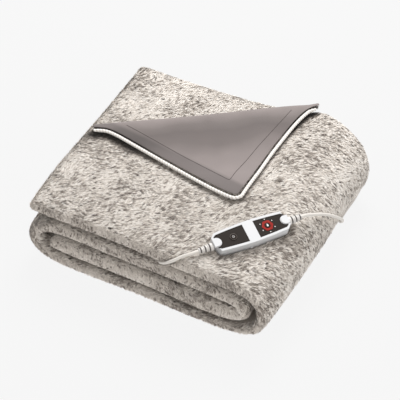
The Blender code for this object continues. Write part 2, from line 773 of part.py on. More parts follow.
def relief_profile(length):
    """Tip first: ribs along a taper, down to a plain collar."""
    wide, slim = RELIEF_RADIUS
    pitch = (length - RELIEF_COLLAR) / RELIEF_RIBS
    points = [(0.0, length), (slim * 0.92, length)]
    for k in range(RELIEF_RIBS):
        top = length - k * pitch
        radius = mix(slim, wide, (k + 1) / (RELIEF_RIBS + 1))
        points += [(radius, top - 0.15 * pitch), (radius, top - 0.60 * pitch)]
        points += [(radius - RIB_DEPTH, top - 0.70 * pitch), (radius - RIB_DEPTH, top - 0.95 * pitch)]
    points += [(wide, RELIEF_COLLAR - 0.0008), (wide, 0.0), (0.0, 0.0)]
    return points


def handset_bed(frame, cutters):
    """Cutter for the dent that the handset presses into the pile."""
    top = COVER_HEIGHT + 0.01
    bed = plate("handset_bed", handset_outline(BED_ROOM), -2 * GAP, top, cutters)
    bevel(bed, SHELL_ROUND)
    return on_frame(as_cutter(bed), frame)


# ---------------------------------------------------------------- leads, coil and plug

def relief_tip(frame, side):
    """Where the lead leaves a relief, and its way out, in the world."""
    bpy.context.view_layer.update()
    out = HANDSET_HALF + GAP + RELIEF_LENGTH + GAP
    place = frame.matrix_world @ Vector((side * out, 0.0, RELIEF_AXIS))
    way = frame.matrix_world.to_3x3() @ Vector((side, 0.0, 0.0))
    return place, way


def beside_coil(degrees, heights=(LEAD_RADIUS + GAP,) * 3):
    """Points where a lead lies against the coil."""
    reach = COIL_MEAN + COIL_ACROSS * LEAD_RADIUS + 3 * GAP + LEAD_RADIUS
    return [Vector((*arc(COIL_AT, reach, d, d, 1)[0], z)) for d, z in zip(degrees, heights)]


def make_leads(frame, plug_frame, group, cutters):
    place, way = relief_tip(frame, -1)
    route = [place, place + 0.010 * way] + [Vector(p) for p in BLANKET_ROUTE]
    tube("lead_blanket", smooth_route(route, LEAD_STEP), LEAD_RADIUS, group, "lead")
    before = place - (RELIEF_LENGTH + 2 * BED_ROOM) * way
    beyond = route[-1] + (route[-1] - route[-2]).normalized() * 2 * CHANNEL_ROOM
    pressed = smooth_route([before] + route + [beyond], 0.0065)
    wide = [RELIEF_RADIUS[0] if k < 6 else LEAD_RADIUS for k in range(len(pressed))]
    radii = [radius + CHANNEL_ROOM for radius in wide]
    guide = tube("lead_channel", pressed, 1.0, cutters, None, radii=radii)
    cutters.objects.unlink(guide)
    channel = as_cutter(meshed(guide, "lead_channel", cutters))

    place, way = relief_tip(frame, 1)
    route = [place, place + 0.010 * way] + [Vector(p) for p in MAINS_ROUTE] + beside_coil(MAINS_MEETS)
    tube("lead_mains", smooth_route(route, LEAD_STEP), LEAD_RADIUS, group, "lead")

    out = PLUG_SIZE[0] / 2 + PLUG_RELIEF_LENGTH + 2 * GAP
    place = plug_frame.matrix_world @ Vector((-out, 0.0, 0.0))
    before = plug_frame.matrix_world @ Vector((-out - 0.012, 0.0, 0.0))
    route = beside_coil(TAIL_LEAVES, TAIL_HEIGHTS) + [Vector(p) for p in TAIL_ROUTE] + [before, place]
    tube("lead_tail", smooth_route(route, LEAD_STEP), LEAD_RADIUS, group, "lead")
    return channel


def make_plug(group):
    frame = bpy.data.objects.new("plug_frame", None)
    group.objects.link(frame)
    frame.location = PLUG_AT
    frame.rotation_euler = (0.0, 0.0, PLUG_TURN)
    shape = bmesh.new()
    bmesh.ops.create_cube(shape, size=1.0, matrix=Matrix.Diagonal((*PLUG_SIZE, 1.0)))
    body = mesh_object("plug_body", shape, group, "lead")
    bevel(body, PLUG_ROUND, segments=3)
    on_frame(body, frame)
    relief = turned("plug_relief", relief_profile(PLUG_RELIEF_LENGTH), 12, group, "lead")
    on_frame(relief, frame, -PLUG_SIZE[0] / 2 - GAP, turn=(0.0, -math.pi / 2, 0.0))
    rim = ((0.0, PIN_LENGTH), (PIN_RADIUS * 0.5, PIN_LENGTH), (PIN_RADIUS, PIN_LENGTH - PIN_RADIUS),
           (PIN_RADIUS, 0.0), (0.0, 0.0))
    for side, name in ((-1, "left"), (1, "right")):
        pin = turned("pin_" + name, rim, 12, group, "pin_metal")
        place = (PLUG_SIZE[0] / 2 + GAP, side * PIN_APART / 2)
        on_frame(pin, frame, *place, turn=(0.0, math.pi / 2, 0.0))
    bpy.context.view_layer.update()
    return frame


def make_coil(group, cutters):
    half_wide = COIL_ACROSS * LEAD_RADIUS
    top = COIL_FLOOR + 2 * LEAD_RADIUS * (1 + 0.87 * (COIL_DEEP - 1))
    inner, outer = COIL_MEAN - half_wide, COIL_MEAN + half_wide
    edge = 0.0022
    section = [
        (inner + edge, top), (outer - edge, top), (outer, top - edge), (outer, COIL_FLOOR + edge),
        (outer - edge, COIL_FLOOR), (inner + edge, COIL_FLOOR), (inner, COIL_FLOOR + edge),
        (inner, top - edge),
    ]
    coil = turned("lead_coil", section, 28, group, "lead", ring=True)
    coil.location = (COIL_AT.x, COIL_AT.y, 0.0)

    room = 2 * GAP
    long, wide = half_wide + room, TIE_WIDE / 2
    low, high = COIL_FLOOR - room, top + room
    thick = TIE_THICK
    tie = plate("coil_tie", [(-long - thick, low - thick), (long + thick, low - thick),
                             (long + thick, high + thick), (-long - thick, high + thick)],
                -wide, wide, group, "tie")
    hole = plate("tie_opening", [(-long, low), (long, low), (long, high), (-long, high)],
                 -TIE_WIDE, TIE_WIDE, cutters)
    for item in (tie, hole):
        item.rotation_euler = (math.pi / 2, 0.0, 0.0)
        item.location = (COIL_AT.x - COIL_MEAN, COIL_AT.y, 0.0)
    boolean(tie, as_cutter(hole), "DIFFERENCE")


# ---------------------------------------------------------------- build

def below_floor(cutters):
    """Cutter for all that would lie under the floor."""
    shape = bmesh.new()
    size = Matrix.Diagonal((1.0, 1.0, 0.04, 1.0))
    bmesh.ops.create_cube(shape, size=1.0, matrix=Matrix.Translation((0.0, 0.0, -0.02)) @ size)
    return as_cutter(mesh_object("below_floor", shape, cutters))


def main():
    clear_scene()
    parts = new_collection("electric_heated_blanket")
    cutters = new_collection("cutters")
    body = make_stack(parts)
    corner = corner_sheet("corner_plush", 0.0, PLUSH_SHEET, -ROLL_SINK / 2, cutters, "plush")
    boolean(body, as_cutter(corner), "UNION")
    low = PLUSH_SHEET + 2 * GAP
    corner_sheet("corner_lining", low, low + LINING_SHEET, LINING_LIFT, parts, "lining")
    make_edge_cord(parts)
    frame = make_handset(parts, cutters)
    boolean(body, handset_bed(frame, cutters), "DIFFERENCE")
    plug_frame = make_plug(parts)
    boolean(body, make_leads(frame, plug_frame, parts, cutters), "DIFFERENCE")
    boolean(body, below_floor(cutters), "DIFFERENCE")
    make_coil(parts, cutters)
    for item in bpy.data.objects:
        if not item.parent:
            item.location -= MIDDLE


main()
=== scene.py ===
import math

import bmesh
import bpy
import numpy as np
from mathutils import Euler, Matrix, Vector, noise
from mathutils.bvhtree import BVHTree
from mathutils.kdtree import KDTree


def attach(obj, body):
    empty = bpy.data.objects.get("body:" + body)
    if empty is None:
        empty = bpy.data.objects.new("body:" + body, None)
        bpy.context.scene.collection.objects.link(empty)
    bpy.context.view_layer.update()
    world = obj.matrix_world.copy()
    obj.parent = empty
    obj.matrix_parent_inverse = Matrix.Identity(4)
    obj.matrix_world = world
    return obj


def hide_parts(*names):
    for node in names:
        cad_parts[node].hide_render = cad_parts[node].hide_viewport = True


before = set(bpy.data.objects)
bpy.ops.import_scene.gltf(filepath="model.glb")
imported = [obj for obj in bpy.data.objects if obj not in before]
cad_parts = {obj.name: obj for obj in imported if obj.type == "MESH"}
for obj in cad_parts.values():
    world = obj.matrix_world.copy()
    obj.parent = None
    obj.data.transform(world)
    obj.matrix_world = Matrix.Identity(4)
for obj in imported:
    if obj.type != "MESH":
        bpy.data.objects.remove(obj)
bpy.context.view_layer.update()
rng = np.random.default_rng(7)
scene = bpy.context.scene
print("frame loaded:", len(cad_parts), "nodes")


# small helpers, all in metres

def linkObject(name, data):
    made = bpy.data.objects.new(name, data)
    scene.collection.objects.link(made)
    return made


def smoothLine(points, step):
    # a smooth curve through the given points, read off every step
    points = [Vector(p) for p in points]
    ends = [2 * points[0] - points[1]] + points + [2 * points[-1] - points[-2]]
    samples = 24  # from one given point to the next
    dense = []
    for a, b, c, d in zip(ends, ends[1:], ends[2:], ends[3:]):
        for k in range(samples):
            t = k / samples
            bend = (2 * a - 5 * b + 4 * c - d) * t * t + (3 * b - 3 * c + d - a) * t ** 3
            dense.append((2 * b + (c - a) * t + bend) / 2.0)
    dense.append(points[-1])
    return walkLine(dense, step)


def walkLine(dense, step):
    marks = np.array([p[:] for p in dense])
    done = np.concatenate([[0.0], np.cumsum(np.linalg.norm(np.diff(marks, axis=0), axis=1))])
    count = max(int(round(done[-1] / step)), 1)
    at = np.linspace(0.0, done[-1], count + 1)
    return [Vector([np.interp(s, done, column) for column in marks.T]) for s in at]


def lineLength(points):
    return sum((a - b).length for a, b in zip(points, points[1:]))


def tubeCurve(name, points, radius, sides):
    line = bpy.data.curves.new(name, "CURVE")
    line.dimensions = "3D"
    line.bevel_depth = 1.0  # each point's own radius gives the thickness
    line.bevel_resolution = sides
    line.use_fill_caps = True
    spline = line.splines.new("POLY")
    spline.points.add(len(points) - 1)
    for point, place in zip(spline.points, points):
        point.co = (*place, 1.0)
        point.radius = radius
    spline.use_smooth = True
    return linkObject(name, line)


def meshFromArrays(name, points, faces):
    # every face has the same number of corners
    points, faces = np.asarray(points, np.float32), np.asarray(faces, np.int32)
    count, corners = faces.shape
    data = bpy.data.meshes.new(name)
    data.vertices.add(len(points))
    data.vertices.foreach_set("co", points.ravel())
    data.loops.add(count * corners)
    data.loops.foreach_set("vertex_index", faces.ravel())
    data.polygons.add(count)
    data.polygons.foreach_set("loop_start", np.arange(0, count * corners, corners, dtype=np.int32))
    data.polygons.foreach_set("loop_total", np.full(count, corners, np.int32))
    data.update(calc_edges=True)
    data.validate()
    return data


def softCopy(node, name, levels):
    # the node's own shape as a new mesh, its split corners joined and its facets smoothed
    shape = bmesh.new()
    shape.from_mesh(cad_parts[node].data)
    bmesh.ops.remove_doubles(shape, verts=shape.verts, dist=0.00002)
    bmesh.ops.recalc_face_normals(shape, faces=shape.faces)
    data = bpy.data.meshes.new(name)
    shape.to_mesh(data)
    shape.free()
    data.materials.clear()
    data.shade_smooth()
    made = linkObject(name, data)
    softer = made.modifiers.new("softer", "SUBSURF")
    softer.levels = softer.render_levels = levels
    smoothed = made.evaluated_get(bpy.context.evaluated_depsgraph_get())
    data = bpy.data.meshes.new_from_object(smoothed)
    made.modifiers.clear()
    made.data = data
    return made


def meshArrays(data):
    data.calc_loop_triangles()
    points = np.zeros(len(data.vertices) * 3, np.float32)
    normals = np.zeros(len(data.vertices) * 3, np.float32)
    corners = np.zeros(len(data.loop_triangles) * 3, np.int32)
    data.vertices.foreach_get("co", points)
    data.vertices.foreach_get("normal", normals)
    data.loop_triangles.foreach_get("vertices", corners)
    points, normals = (field.reshape(-1, 3).astype(float) for field in (points, normals))
    return points, normals, corners.reshape(-1, 3)


def treeOf(points, corners):
    return BVHTree.FromPolygons([Vector(p) for p in points], corners.tolist())


def nodeTree(node):
    points, normals, corners = meshArrays(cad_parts[node].data)
    return treeOf(points, corners)


def nearestOf(places):
    tree = KDTree(len(places))
    for k, place in enumerate(places):
        tree.insert(place, k)
    tree.balance()
    return tree


def unit(rows):
    return rows / np.maximum(np.linalg.norm(rows, axis=1), 1e-9)[:, None]


def setFloats(data, label, values):
    field = data.attributes.new(label, "FLOAT", "POINT")
    field.data.foreach_set("value", values.astype(np.float32))


# the camera stands where the photograph's did

cameraSet = dict(
    azimuth=27.6,
    elevation=43.3,
    distance=2.5623,
    lens=133.83,
    sensor=36.0,
    clip=(0.05, 30.0),
    lookAt=(0.0051, -0.0149, 0.0702),
)


def makeCamera(s):
    turn, rise = math.radians(s["azimuth"]), math.radians(s["elevation"])
    level = math.cos(rise)
    back = Vector((math.sin(turn) * level, -math.cos(turn) * level, math.sin(rise)))
    data = bpy.data.cameras.new("camera")
    data.lens = s["lens"]
    data.sensor_width = s["sensor"]
    data.clip_start, data.clip_end = s["clip"]
    data.dof.use_dof = False
    camera = linkObject("camera", data)
    camera.location = Vector(s["lookAt"]) + back * s["distance"]
    camera.rotation_mode = "QUATERNION"
    camera.rotation_quaternion = (-back).to_track_quat("-Z", "Y")
    scene.camera = camera


makeCamera(cameraSet)
print("camera set")


# the handset's own place: x along it, y across it, z up from its underside

handsetSet = dict(
    at=(0.1478, -0.1148, 0.1344),
    turn=52.8,  # degrees about the vertical
    roll=16.5,  # degrees, with its front edge down
    half=0.0672,  # half the casing's length
    wide=0.0206,  # half its width
    reliefAxis=0.0093,  # the reliefs' height in the casing
    reliefLong=0.025,
    gap=0.0006,  # between a relief's tip and its lead
    grooves=(0.0894, 0.0076),  # one groove's place along the handset, and the pitch
    frontDetails=(-0.0070, 0.0093),  # the slider and the lamp along the front wall
)
handsetPlace = Matrix.Translation(handsetSet["at"]) @ Euler(
    (math.radians(handsetSet["roll"]), 0.0, math.radians(handsetSet["turn"]))
).to_matrix().to_4x4()


def onHandset(points):
    return [handsetPlace @ Vector(p) for p in points]


def inHandset(points):
    turned = np.array(handsetPlace.inverted())
    return points @ turned[:3, :3].T + turned[:3, 3]


def reliefTip(side):
    s = handsetSet
    place = handsetPlace @ Vector((side * (s["half"] + s["reliefLong"] + s["gap"]), 0.0, s["reliefAxis"]))
    return place, handsetPlace.to_3x3() @ Vector((side, 0.0, 0.0))


# leads: one into the blanket, and the mains lead down the round side to its coil and plug

leadSet = dict(
    radius=0.0028,
    straight=0.010,  # straight out of a relief
    step=0.004,
    intoBlanket=(
        (0.0741, -0.2087, 0.1385), (0.0611, -0.2167, 0.1300), (0.0471, -0.2159, 0.1180),
        (0.0341, -0.2099, 0.1090), (0.0221, -0.1989, 0.1078), (0.0131, -0.1869, 0.1080),
    ),
    downTheSide=(
        (0.2173, -0.0110, 0.1268), (0.2213, 0.0014, 0.1185), (0.2260, 0.0121, 0.1110),
        (0.2307, 0.0236, 0.1016), (0.2348, 0.0370, 0.0889), (0.2367, 0.0468, 0.0786),
        (0.2374, 0.0551, 0.0700), (0.2370, 0.0642, 0.0602), (0.2359, 0.0711, 0.0520),
        (0.2335, 0.0776, 0.0425), (0.2287, 0.0861, 0.0320), (0.2233, 0.0961, 0.0210),
        (0.2179, 0.1071, 0.0115), (0.2148, 0.1211, 0.0046), (0.2141, 0.1451, 0.0031),
        (0.2151, 0.1851, 0.0031), (0.2101, 0.2271, 0.0031), (0.1931, 0.2591, 0.0031),
        (0.1691, 0.2841, 0.0031),
    ),
    tailToPlug=((0.0571, 0.2846, 0.0032), (0.0421, 0.2741, 0.0050)),
    beforePlug=0.012,  # straight into the plug's relief
    plugAt=(-0.0149, 0.2541, 0.0070),
    plugTurn=196.0,
    plugHalf=0.0170,
    plugRelief=0.0220,
)
coilSet = dict(
    at=(0.1101, 0.2701),
    mean=0.0310,
    floor=0.0016,
    comeIn=((38, 0.0459, 0.0031), (58, 0.0455, 0.0031), (78, 0.0432, 0.0034), (100, 0.0400, 0.0042)),
    goOut=((2640, 0.0440, 0.0080), (2656, 0.0468, 0.0052)),  # degrees, reach and height
    lowTurns=3.0,
    allTurns=7,
    perTurn=16,
    outside=0.0006,  # how far the turns lie outside the even spiral
    climb=(0.15, 0.5, 0.85, 1.0),
    climbTurn=24,
    layer=1.04,  # the upper layer's height over the lower, in diameters
)


def coilPoints(s, radius):
    # inwards along the lower layer, outwards on top of it, then down beside it
    thick = 2 * radius
    low = s["floor"] + radius
    high = low + s["layer"] * thick
    outer, inner = s["mean"] + 1.5 * thick, s["mean"] - 1.5 * thick
    rows = list(s["comeIn"])
    begin = rows[-1][0]
    steps = int(s["lowTurns"] * s["perTurn"])
    for k in range(1, steps + 1):
        reach = outer + s["outside"] - (outer - inner) * k / steps
        rows.append((begin + 360 * s["lowTurns"] * k / steps, reach, low))
    start = rows[-1][0]
    for k, share in enumerate(s["climb"], 1):
        rows.append((start + s["climbTurn"] * k, inner + s["outside"], low + (high - low) * share))
    start = rows[-1][0]
    left = (begin + 360 * s["allTurns"] - start) / 360.0
    steps = int(left * s["perTurn"])
    for k in range(1, steps + 1):
        reach = inner + s["outside"] + (outer - inner) * k / steps
        rows.append((start + 360 * left * k / steps, reach, high))
    rows += s["goOut"]
    x, y = s["at"]
    found = []
    for degrees, reach, height in rows:
        turn = math.radians(degrees)
        found.append((x + reach * math.cos(turn), y + reach * math.sin(turn), height))
    return found


def makeBlanketLead(s):
    start, way = reliefTip(-1)
    route = [start, start + s["straight"] * way] + [Vector(p) for p in s["intoBlanket"]]
    points = smoothLine(route, s["step"])
    lead = tubeCurve("blanketLead", points, s["radius"], 4)
    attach(lead, "root")
    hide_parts("lead_blanket")
    return lead


def makeMainsLead(s):
    start, way = reliefTip(1)
    plug = Matrix.Translation(s["plugAt"]) @ Matrix.Rotation(math.radians(s["plugTurn"]), 4, "Z")
    out = s["plugHalf"] + s["plugRelief"] + handsetSet["gap"]
    ending = [plug @ Vector((-reach, 0.0, 0.0)) for reach in (out + s["beforePlug"], out)]
    route = [start, start + s["straight"] * way] + [Vector(p) for p in s["downTheSide"]]
    route += coilPoints(coilSet, s["radius"]) + list(s["tailToPlug"]) + ending
    points = smoothLine(route, s["step"])
    lead = tubeCurve("mainsLead", points, s["radius"], 4)
    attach(lead, "root")
    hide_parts("lead_mains", "lead_coil", "lead_tail")
    print("leads laid, mains lead", round(lineLength(points), 3), "m")
    return lead


leads = (makeBlanketLead(leadSet), makeMainsLead(leadSet))


# shader building

def newMaterial(name):
    made = bpy.data.materials.new(name)
    made.use_nodes = True
    nodes, links = made.node_tree.nodes, made.node_tree.links
    return made, nodes, links, nodes["Principled BSDF"]


def mathNode(nodes, links, operation, *values):
    made = nodes.new("ShaderNodeMath")
    made.operation = operation
    for slot, value in enumerate(values):
        if isinstance(value, (int, float)):
            made.inputs[slot].default_value = value
        else:
            links.new(value, made.inputs[slot])
    return made.outputs[0]


def colourRamp(nodes, links, value, stops):
    made = nodes.new("ShaderNodeValToRGB")
    elements = made.color_ramp.elements
    while len(elements) < len(stops):
        elements.new(0.5)
    for element, (position, colour) in zip(elements, stops):
        element.position = position
        element.color = (*colour, 1.0)
    links.new(value, made.inputs["Fac"])
    return made.outputs["Color"]


def scaledColour(nodes, links, colour, amount):
    made = nodes.new("ShaderNodeVectorMath")
    made.operation = "SCALE"
    links.new(colour, made.inputs[0])
    links.new(amount, made.inputs["Scale"])
    return made.outputs[0]


def smoothRange(nodes, links, value, low, high, least=0.0):
    made = nodes.new("ShaderNodeMapRange")
    made.interpolation_type = "SMOOTHSTEP"
    for label, end in (("From Min", low), ("From Max", high), ("To Min", least)):
        made.inputs[label].default_value = end
    links.new(value, made.inputs["Value"])
    return made.outputs["Result"]


def pointField(nodes, label):
    made = nodes.new("ShaderNodeAttribute")
    made.attribute_name = label
    return made.outputs["Fac"]


def mixedColour(nodes, links, share, first, second):
    made = nodes.new("ShaderNodeMix")
    made.data_type = "RGBA"
    links.new(share, made.inputs["Factor"])
    for label, value in (("A", first), ("B", second)):
        if isinstance(value, tuple):
            made.inputs[label].default_value = (*value, 1.0)
        else:
            links.new(value, made.inputs[label])
    return made.outputs["Result"]


def fineGrainGroup():
    # a fine grain: how it varies the colour, the roughness and the height of a surface
    group = bpy.data.node_groups.new("fineGrain", "ShaderNodeTree")
    face = group.interface
    for label, value in (("Grain Size", 400.0), ("Cloud Size", 30.0), ("Contrast", 0.1), ("Roughness", 0.4)):
        face.new_socket(name=label, in_out="INPUT", socket_type="NodeSocketFloat").default_value = value
    face.new_socket(name="Colour", in_out="INPUT", socket_type="NodeSocketColor")
    face.new_socket(name="Tinted", in_out="OUTPUT", socket_type="NodeSocketColor")
    face.new_socket(name="Rough", in_out="OUTPUT", socket_type="NodeSocketFloat")
    face.new_socket(name="Height", in_out="OUTPUT", socket_type="NodeSocketFloat")
    nodes, links = group.nodes, group.links
    entry, leave = nodes.new("NodeGroupInput"), nodes.new("NodeGroupOutput")
    where = nodes.new("ShaderNodeTexCoord")
    fine, cloud = nodes.new("ShaderNodeTexNoise"), nodes.new("ShaderNodeTexNoise")
    fine.inputs["Detail"].default_value = 3.0
    for texture, size in ((fine, "Grain Size"), (cloud, "Cloud Size")):
        links.new(where.outputs["Object"], texture.inputs["Vector"])
        links.new(entry.outputs[size], texture.inputs["Scale"])
    both = mathNode(nodes, links, "ADD", fine.outputs["Fac"], cloud.outputs["Fac"])
    centred = mathNode(nodes, links, "SUBTRACT", both, 1.0)
    swing = mathNode(nodes, links, "MULTIPLY", centred, entry.outputs["Contrast"])
    bright = mathNode(nodes, links, "ADD", swing, 1.0)
    links.new(scaledColour(nodes, links, entry.outputs["Colour"], bright), leave.inputs["Tinted"])
    links.new(mathNode(nodes, links, "MULTIPLY", entry.outputs["Roughness"], bright), leave.inputs["Rough"])
    links.new(fine.outputs["Fac"], leave.inputs["Height"])
    return group


fineGrain = fineGrainGroup()


def placeGrain(nodes, links, shader, colour, grain, cloud, contrast, roughness):
    made = nodes.new("ShaderNodeGroup")
    made.node_tree = fineGrain
    values = (("Grain Size", grain), ("Cloud Size", cloud), ("Contrast", contrast), ("Roughness", roughness))
    for label, value in values:
        made.inputs[label].default_value = value
    if isinstance(colour, tuple):
        made.inputs["Colour"].default_value = (*colour, 1.0)
    else:
        links.new(colour, made.inputs["Colour"])
    links.new(made.outputs["Tinted"], shader.inputs["Base Color"])
    links.new(made.outputs["Rough"], shader.inputs["Roughness"])
    return made


def placeBump(nodes, links, shader, height, strength, distance):
    made = nodes.new("ShaderNodeBump")
    made.inputs["Strength"].default_value = strength
    made.inputs["Distance"].default_value = distance
    links.new(height, made.inputs["Height"])
    links.new(made.outputs["Normal"], shader.inputs["Normal"])


def grainedMaterial(name, colour, grain, cloud, contrast, roughness, bump=0.0, distance=0.0002,
                    specular=0.5, metallic=0.0):
    made, nodes, links, shader = newMaterial(name)
    grained = placeGrain(nodes, links, shader, colour, grain, cloud, contrast, roughness)
    if bump:
        placeBump(nodes, links, shader, grained.outputs["Height"], bump, distance)
    shader.inputs["Specular IOR Level"].default_value = specular
    shader.inputs["Metallic"].default_value = metallic
    return made


def setMaterial(item, material):
    item.data.materials.clear()
    item.data.materials.append(material)


# finishes of the handset, the leads, the tie and the plug

sheathGrain = dict(grain=900.0, cloud=25.0, contrast=0.05, roughness=0.42)
finishSet = dict(
    leadSheath=dict(colour=(0.70, 0.66, 0.61), bump=0.12, specular=0.25, **sheathGrain),
    whiteShell=dict(colour=(0.64, 0.64, 0.645), grain=1400.0, cloud=40.0, contrast=0.03, roughness=0.45,
                    bump=0.08, distance=0.0001, specular=0.25),
    darkDisplay=dict(colour=(0.020, 0.0145, 0.0115), grain=700.0, cloud=60.0, contrast=0.25,
                     roughness=0.42, bump=0.03, distance=0.0001, specular=0.10),
    redLight=dict(colour=(0.29, 0.026, 0.020), grain=900.0, cloud=420.0, contrast=0.9, roughness=0.45,
                  specular=0.05),
    paleMark=dict(colour=(0.72, 0.69, 0.66), grain=900.0, cloud=80.0, contrast=0.06, roughness=0.5),
    greyMark=dict(colour=(0.17, 0.14, 0.12), grain=900.0, cloud=80.0, contrast=0.06, roughness=0.5),
    blackTie=dict(colour=(0.035, 0.034, 0.033), grain=900.0, cloud=60.0, contrast=0.2, roughness=0.6,
                  bump=0.2),
    pinMetal=dict(colour=(0.72, 0.71, 0.69), grain=900.0, cloud=60.0, contrast=0.06, roughness=0.28,
                  bump=0.05, distance=0.0001, metallic=1.0),
    stitchThread=dict(colour=(0.060, 0.047, 0.043), grain=900.0, cloud=60.0, contrast=0.2, roughness=0.8,
                      bump=0.2),
)
ribSet = dict(
    # painted shade in a groove's middle, to the sheath's own colour in the middle of a rib
    shades=((0.0, (0.075, 0.062, 0.055)), (0.10, (0.12, 0.10, 0.09)), (0.22, (0.68, 0.65, 0.62)),
            (1.0, (0.74, 0.72, 0.69))),
)
finishes = {name: grainedMaterial(name, **values) for name, values in finishSet.items()}


def ribbedMaterial(s):
    # the reliefs' sheath with painted shade in its grooves, by the place along the handset
    made, nodes, links, shader = newMaterial("ribbedSheath")
    where = nodes.new("ShaderNodeTexCoord")
    along = nodes.new("ShaderNodeVectorMath")
    along.operation = "DOT_PRODUCT"
    axis = handsetPlace.to_3x3() @ Vector((1.0, 0.0, 0.0))
    along.inputs[1].default_value = axis
    links.new(where.outputs["Object"], along.inputs[0])
    middle = axis.dot(Vector(handsetSet["at"]))
    fromMiddle = mathNode(nodes, links, "SUBTRACT", along.outputs["Value"], middle)
    away = mathNode(nodes, links, "ABSOLUTE", fromMiddle)
    groove, pitch = handsetSet["grooves"]
    step = mathNode(nodes, links, "DIVIDE", mathNode(nodes, links, "SUBTRACT", away, groove), pitch)
    nearest = mathNode(nodes, links, "ROUND", step)
    near = mathNode(nodes, links, "ABSOLUTE", mathNode(nodes, links, "SUBTRACT", step, nearest))
    # painted shade in the grooves
    placeGrain(nodes, links, shader, colourRamp(nodes, links, near, s["shades"]), **sheathGrain)
    return made


ribbedSheath = ribbedMaterial(ribSet)
nodeFinishes = dict(
    whiteShell=("handset_base", "handset_cover", "side_slider"),
    darkDisplay=("display_left", "display_right", "power_button", "dial_button"),
    redLight=("dial_ring",),
    paleMark=[f"dial_dot_{k}" for k in range(1, 7)],
    leadSheath=("plug_body", "plug_relief"),
    blackTie=("coil_tie",),
    pinMetal=("pin_left", "pin_right"),
)
for finish, nodeNames in nodeFinishes.items():
    for node in nodeNames:
        setMaterial(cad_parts[node], finishes[finish])
for node in ("relief_left", "relief_right"):
    setMaterial(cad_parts[node], ribbedSheath)
for lead in leads:
    setMaterial(lead, finishes["leadSheath"])
print("leads and handset finished")


# plush: a soft base under the pile, which is separate blades in small locks

plushSet = dict(
    depth=0.0030,  # how deep the base lies under the pile's tips
    depthShare=0.36,  # but no deeper than this share of the cloth's thickness
    underHandset=(0.0004, 0.010),  # its depth there, and how near the casing has to be
    inside=0.0004,  # where the rays that measure the cloth's thickness start
    ground=(0.52, 0.47, 0.42),
    groundShade=(0.02, 0.016, 0.013),
)
pileSet = dict(
    blades=300000,
    perPiece=66000,
    spare=3.3,  # roots tried for each blade, as most lie inside the folds
    clearOf=dict(corner_lining=0.0035, handset_base=0.006, handset_cover=0.006, edge_cord=0.003),
    underside=(-0.35, 0.020),  # no pile where the cloth faces down, this near the floor
    outside=0.0008,  # where the rays that look for open air start
    skyReach=0.030,
    lockEvery=6,  # blades in a lock
    lockReach=0.0012,  # half a lock's length, along the flow
    long=(0.0058, 0.0016),  # a lock's blades, and how they vary
    lockLong=(0.88, 0.24),
    thin=0.45,  # the shortest share where the cloth is thin
    rimShort=0.62,  # the rims' pile is shorter
    rimFrom=(0.35, 0.4),  # how far a rim's cloth faces front or back
    bend=(0.5, 0.55),  # shares of a blade's length before and after its bend
    wide=0.00092,
    narrow=0.9,  # at the bend
    comb=(1.0, 0.50, 0.9),  # round the roll, towards the back, and down the rims
    strokes=((0.50, 12.0, (0, 0, 0)), (0.85, 38.0, (7, 3, 1))),
    lift=(33.0, 6.0),  # degrees at the root and at the tip
    liftVary=(5.0, 7.0),  # from lock to lock and from blade to blade
    turnVary=(0.16, 0.10),
    twist=15.0,
    lockPull=(0.15, 0.32),  # at the bend and at the tip
    hugReach=0.009,  # blades this near the casing are longer and stand up against it
    hugLonger=0.75,
    hugLift=(25.0, 50.0),
)
toneSet = dict(
    dark=0.34,
    pale=0.78,
    darkShare=0.29,  # how many locks are dark
    patches=((1.0, 16.0, (3, 9, 5)), (0.7, 45.0, (0, 0, 0))),
    patchShare=1.6,  # more dark locks in a patch
    patchTone=0.10,
    ruffledAndShaded=(0.034, 0.017, 0.075),  # a strip below the handset, of ruffled pile and painted shade: how far, half its width and its length
    ruffledShare=1.2,
    shadeBelowHandset=0.10,
    vary=(0.10, 0.09),  # from lock to lock and from blade to blade
    middle=0.62,
    rim=(0.40, 0.17),  # how much plainer the rims' pile is, and how much painted shade darkens the rims
    folds=0.30,  # painted shade in the folds: what is left of the tone where no sky is seen
    casingShadow=(0.62, 0.25, 0.55),  # painted shadow against the casing: from, over, and how much darker
    # how far the painted shadow under the corner's edge darkens the pile
    underCornerShadow=0.95,
)
fitSet = dict(
    lengths=(1.0, 0.7, 0.45),  # tried in turn
    fromLead=0.0034,  # from its middle line
    leadAbove=0.02,
    casing=(0.0680, 0.0211, -0.0005),  # half its length, half its width and its underside
    casingDraw=(0.15, 0.040),  # its sides draw in past here
    reliefs=(0.066, 0.0950, 0.0070),  # from, to, and how far round their axis
    frontWall=(-0.0300, -0.0190),
    detail=0.0050,  # round the slider and the lamp
)


def makeBase(s):
    made = softCopy("plush_blanket", "plushBase", 1)
    points, normals, corners = meshArrays(made.data)
    tree, seat = treeOf(points, corners), nodeTree("handset_base")
    pressed, near = s["underHandset"]
    depths = np.full(len(points), s["depth"])
    for k, (place, way) in enumerate(zip(points, normals)):
        place, way = Vector(place), Vector(way)
        hit = tree.ray_cast(place - way * s["inside"], -way, 0.05)
        if hit[0] is not None:
            depths[k] = min(s["depth"], s["depthShare"] * hit[3])
        if seat.ray_cast(place, way, near)[0] is not None:
            depths[k] = pressed
    return made, points, normals, corners, tree, depths


base, plushPoints, plushNormals, plushCorners, plushTree, plushDepths = makeBase(plushSet)
print("plush base made:", len(plushPoints), "points")


def scatter(count):
    # even random points on the plush, with smooth normals and the pile's depth there
    a, b, c = (plushPoints[plushCorners[:, k]] for k in range(3))
    area = np.linalg.norm(np.cross(b - a, c - a), axis=1) / 2
    pick = rng.choice(len(area), size=count, p=area / area.sum())
    u, v = rng.random(count), rng.random(count)
    over = u + v > 1
    u[over], v[over] = 1 - u[over], 1 - v[over]
    weights = np.stack([1 - u - v, u, v], axis=1)
    corners = plushCorners[pick]
    points = np.einsum("ij,ijk->ik", weights, plushPoints[corners])
    normals = np.einsum("ij,ijk->ik", weights, plushNormals[corners])
    return points, unit(normals), np.einsum("ij,ij->i", weights, plushDepths[corners])


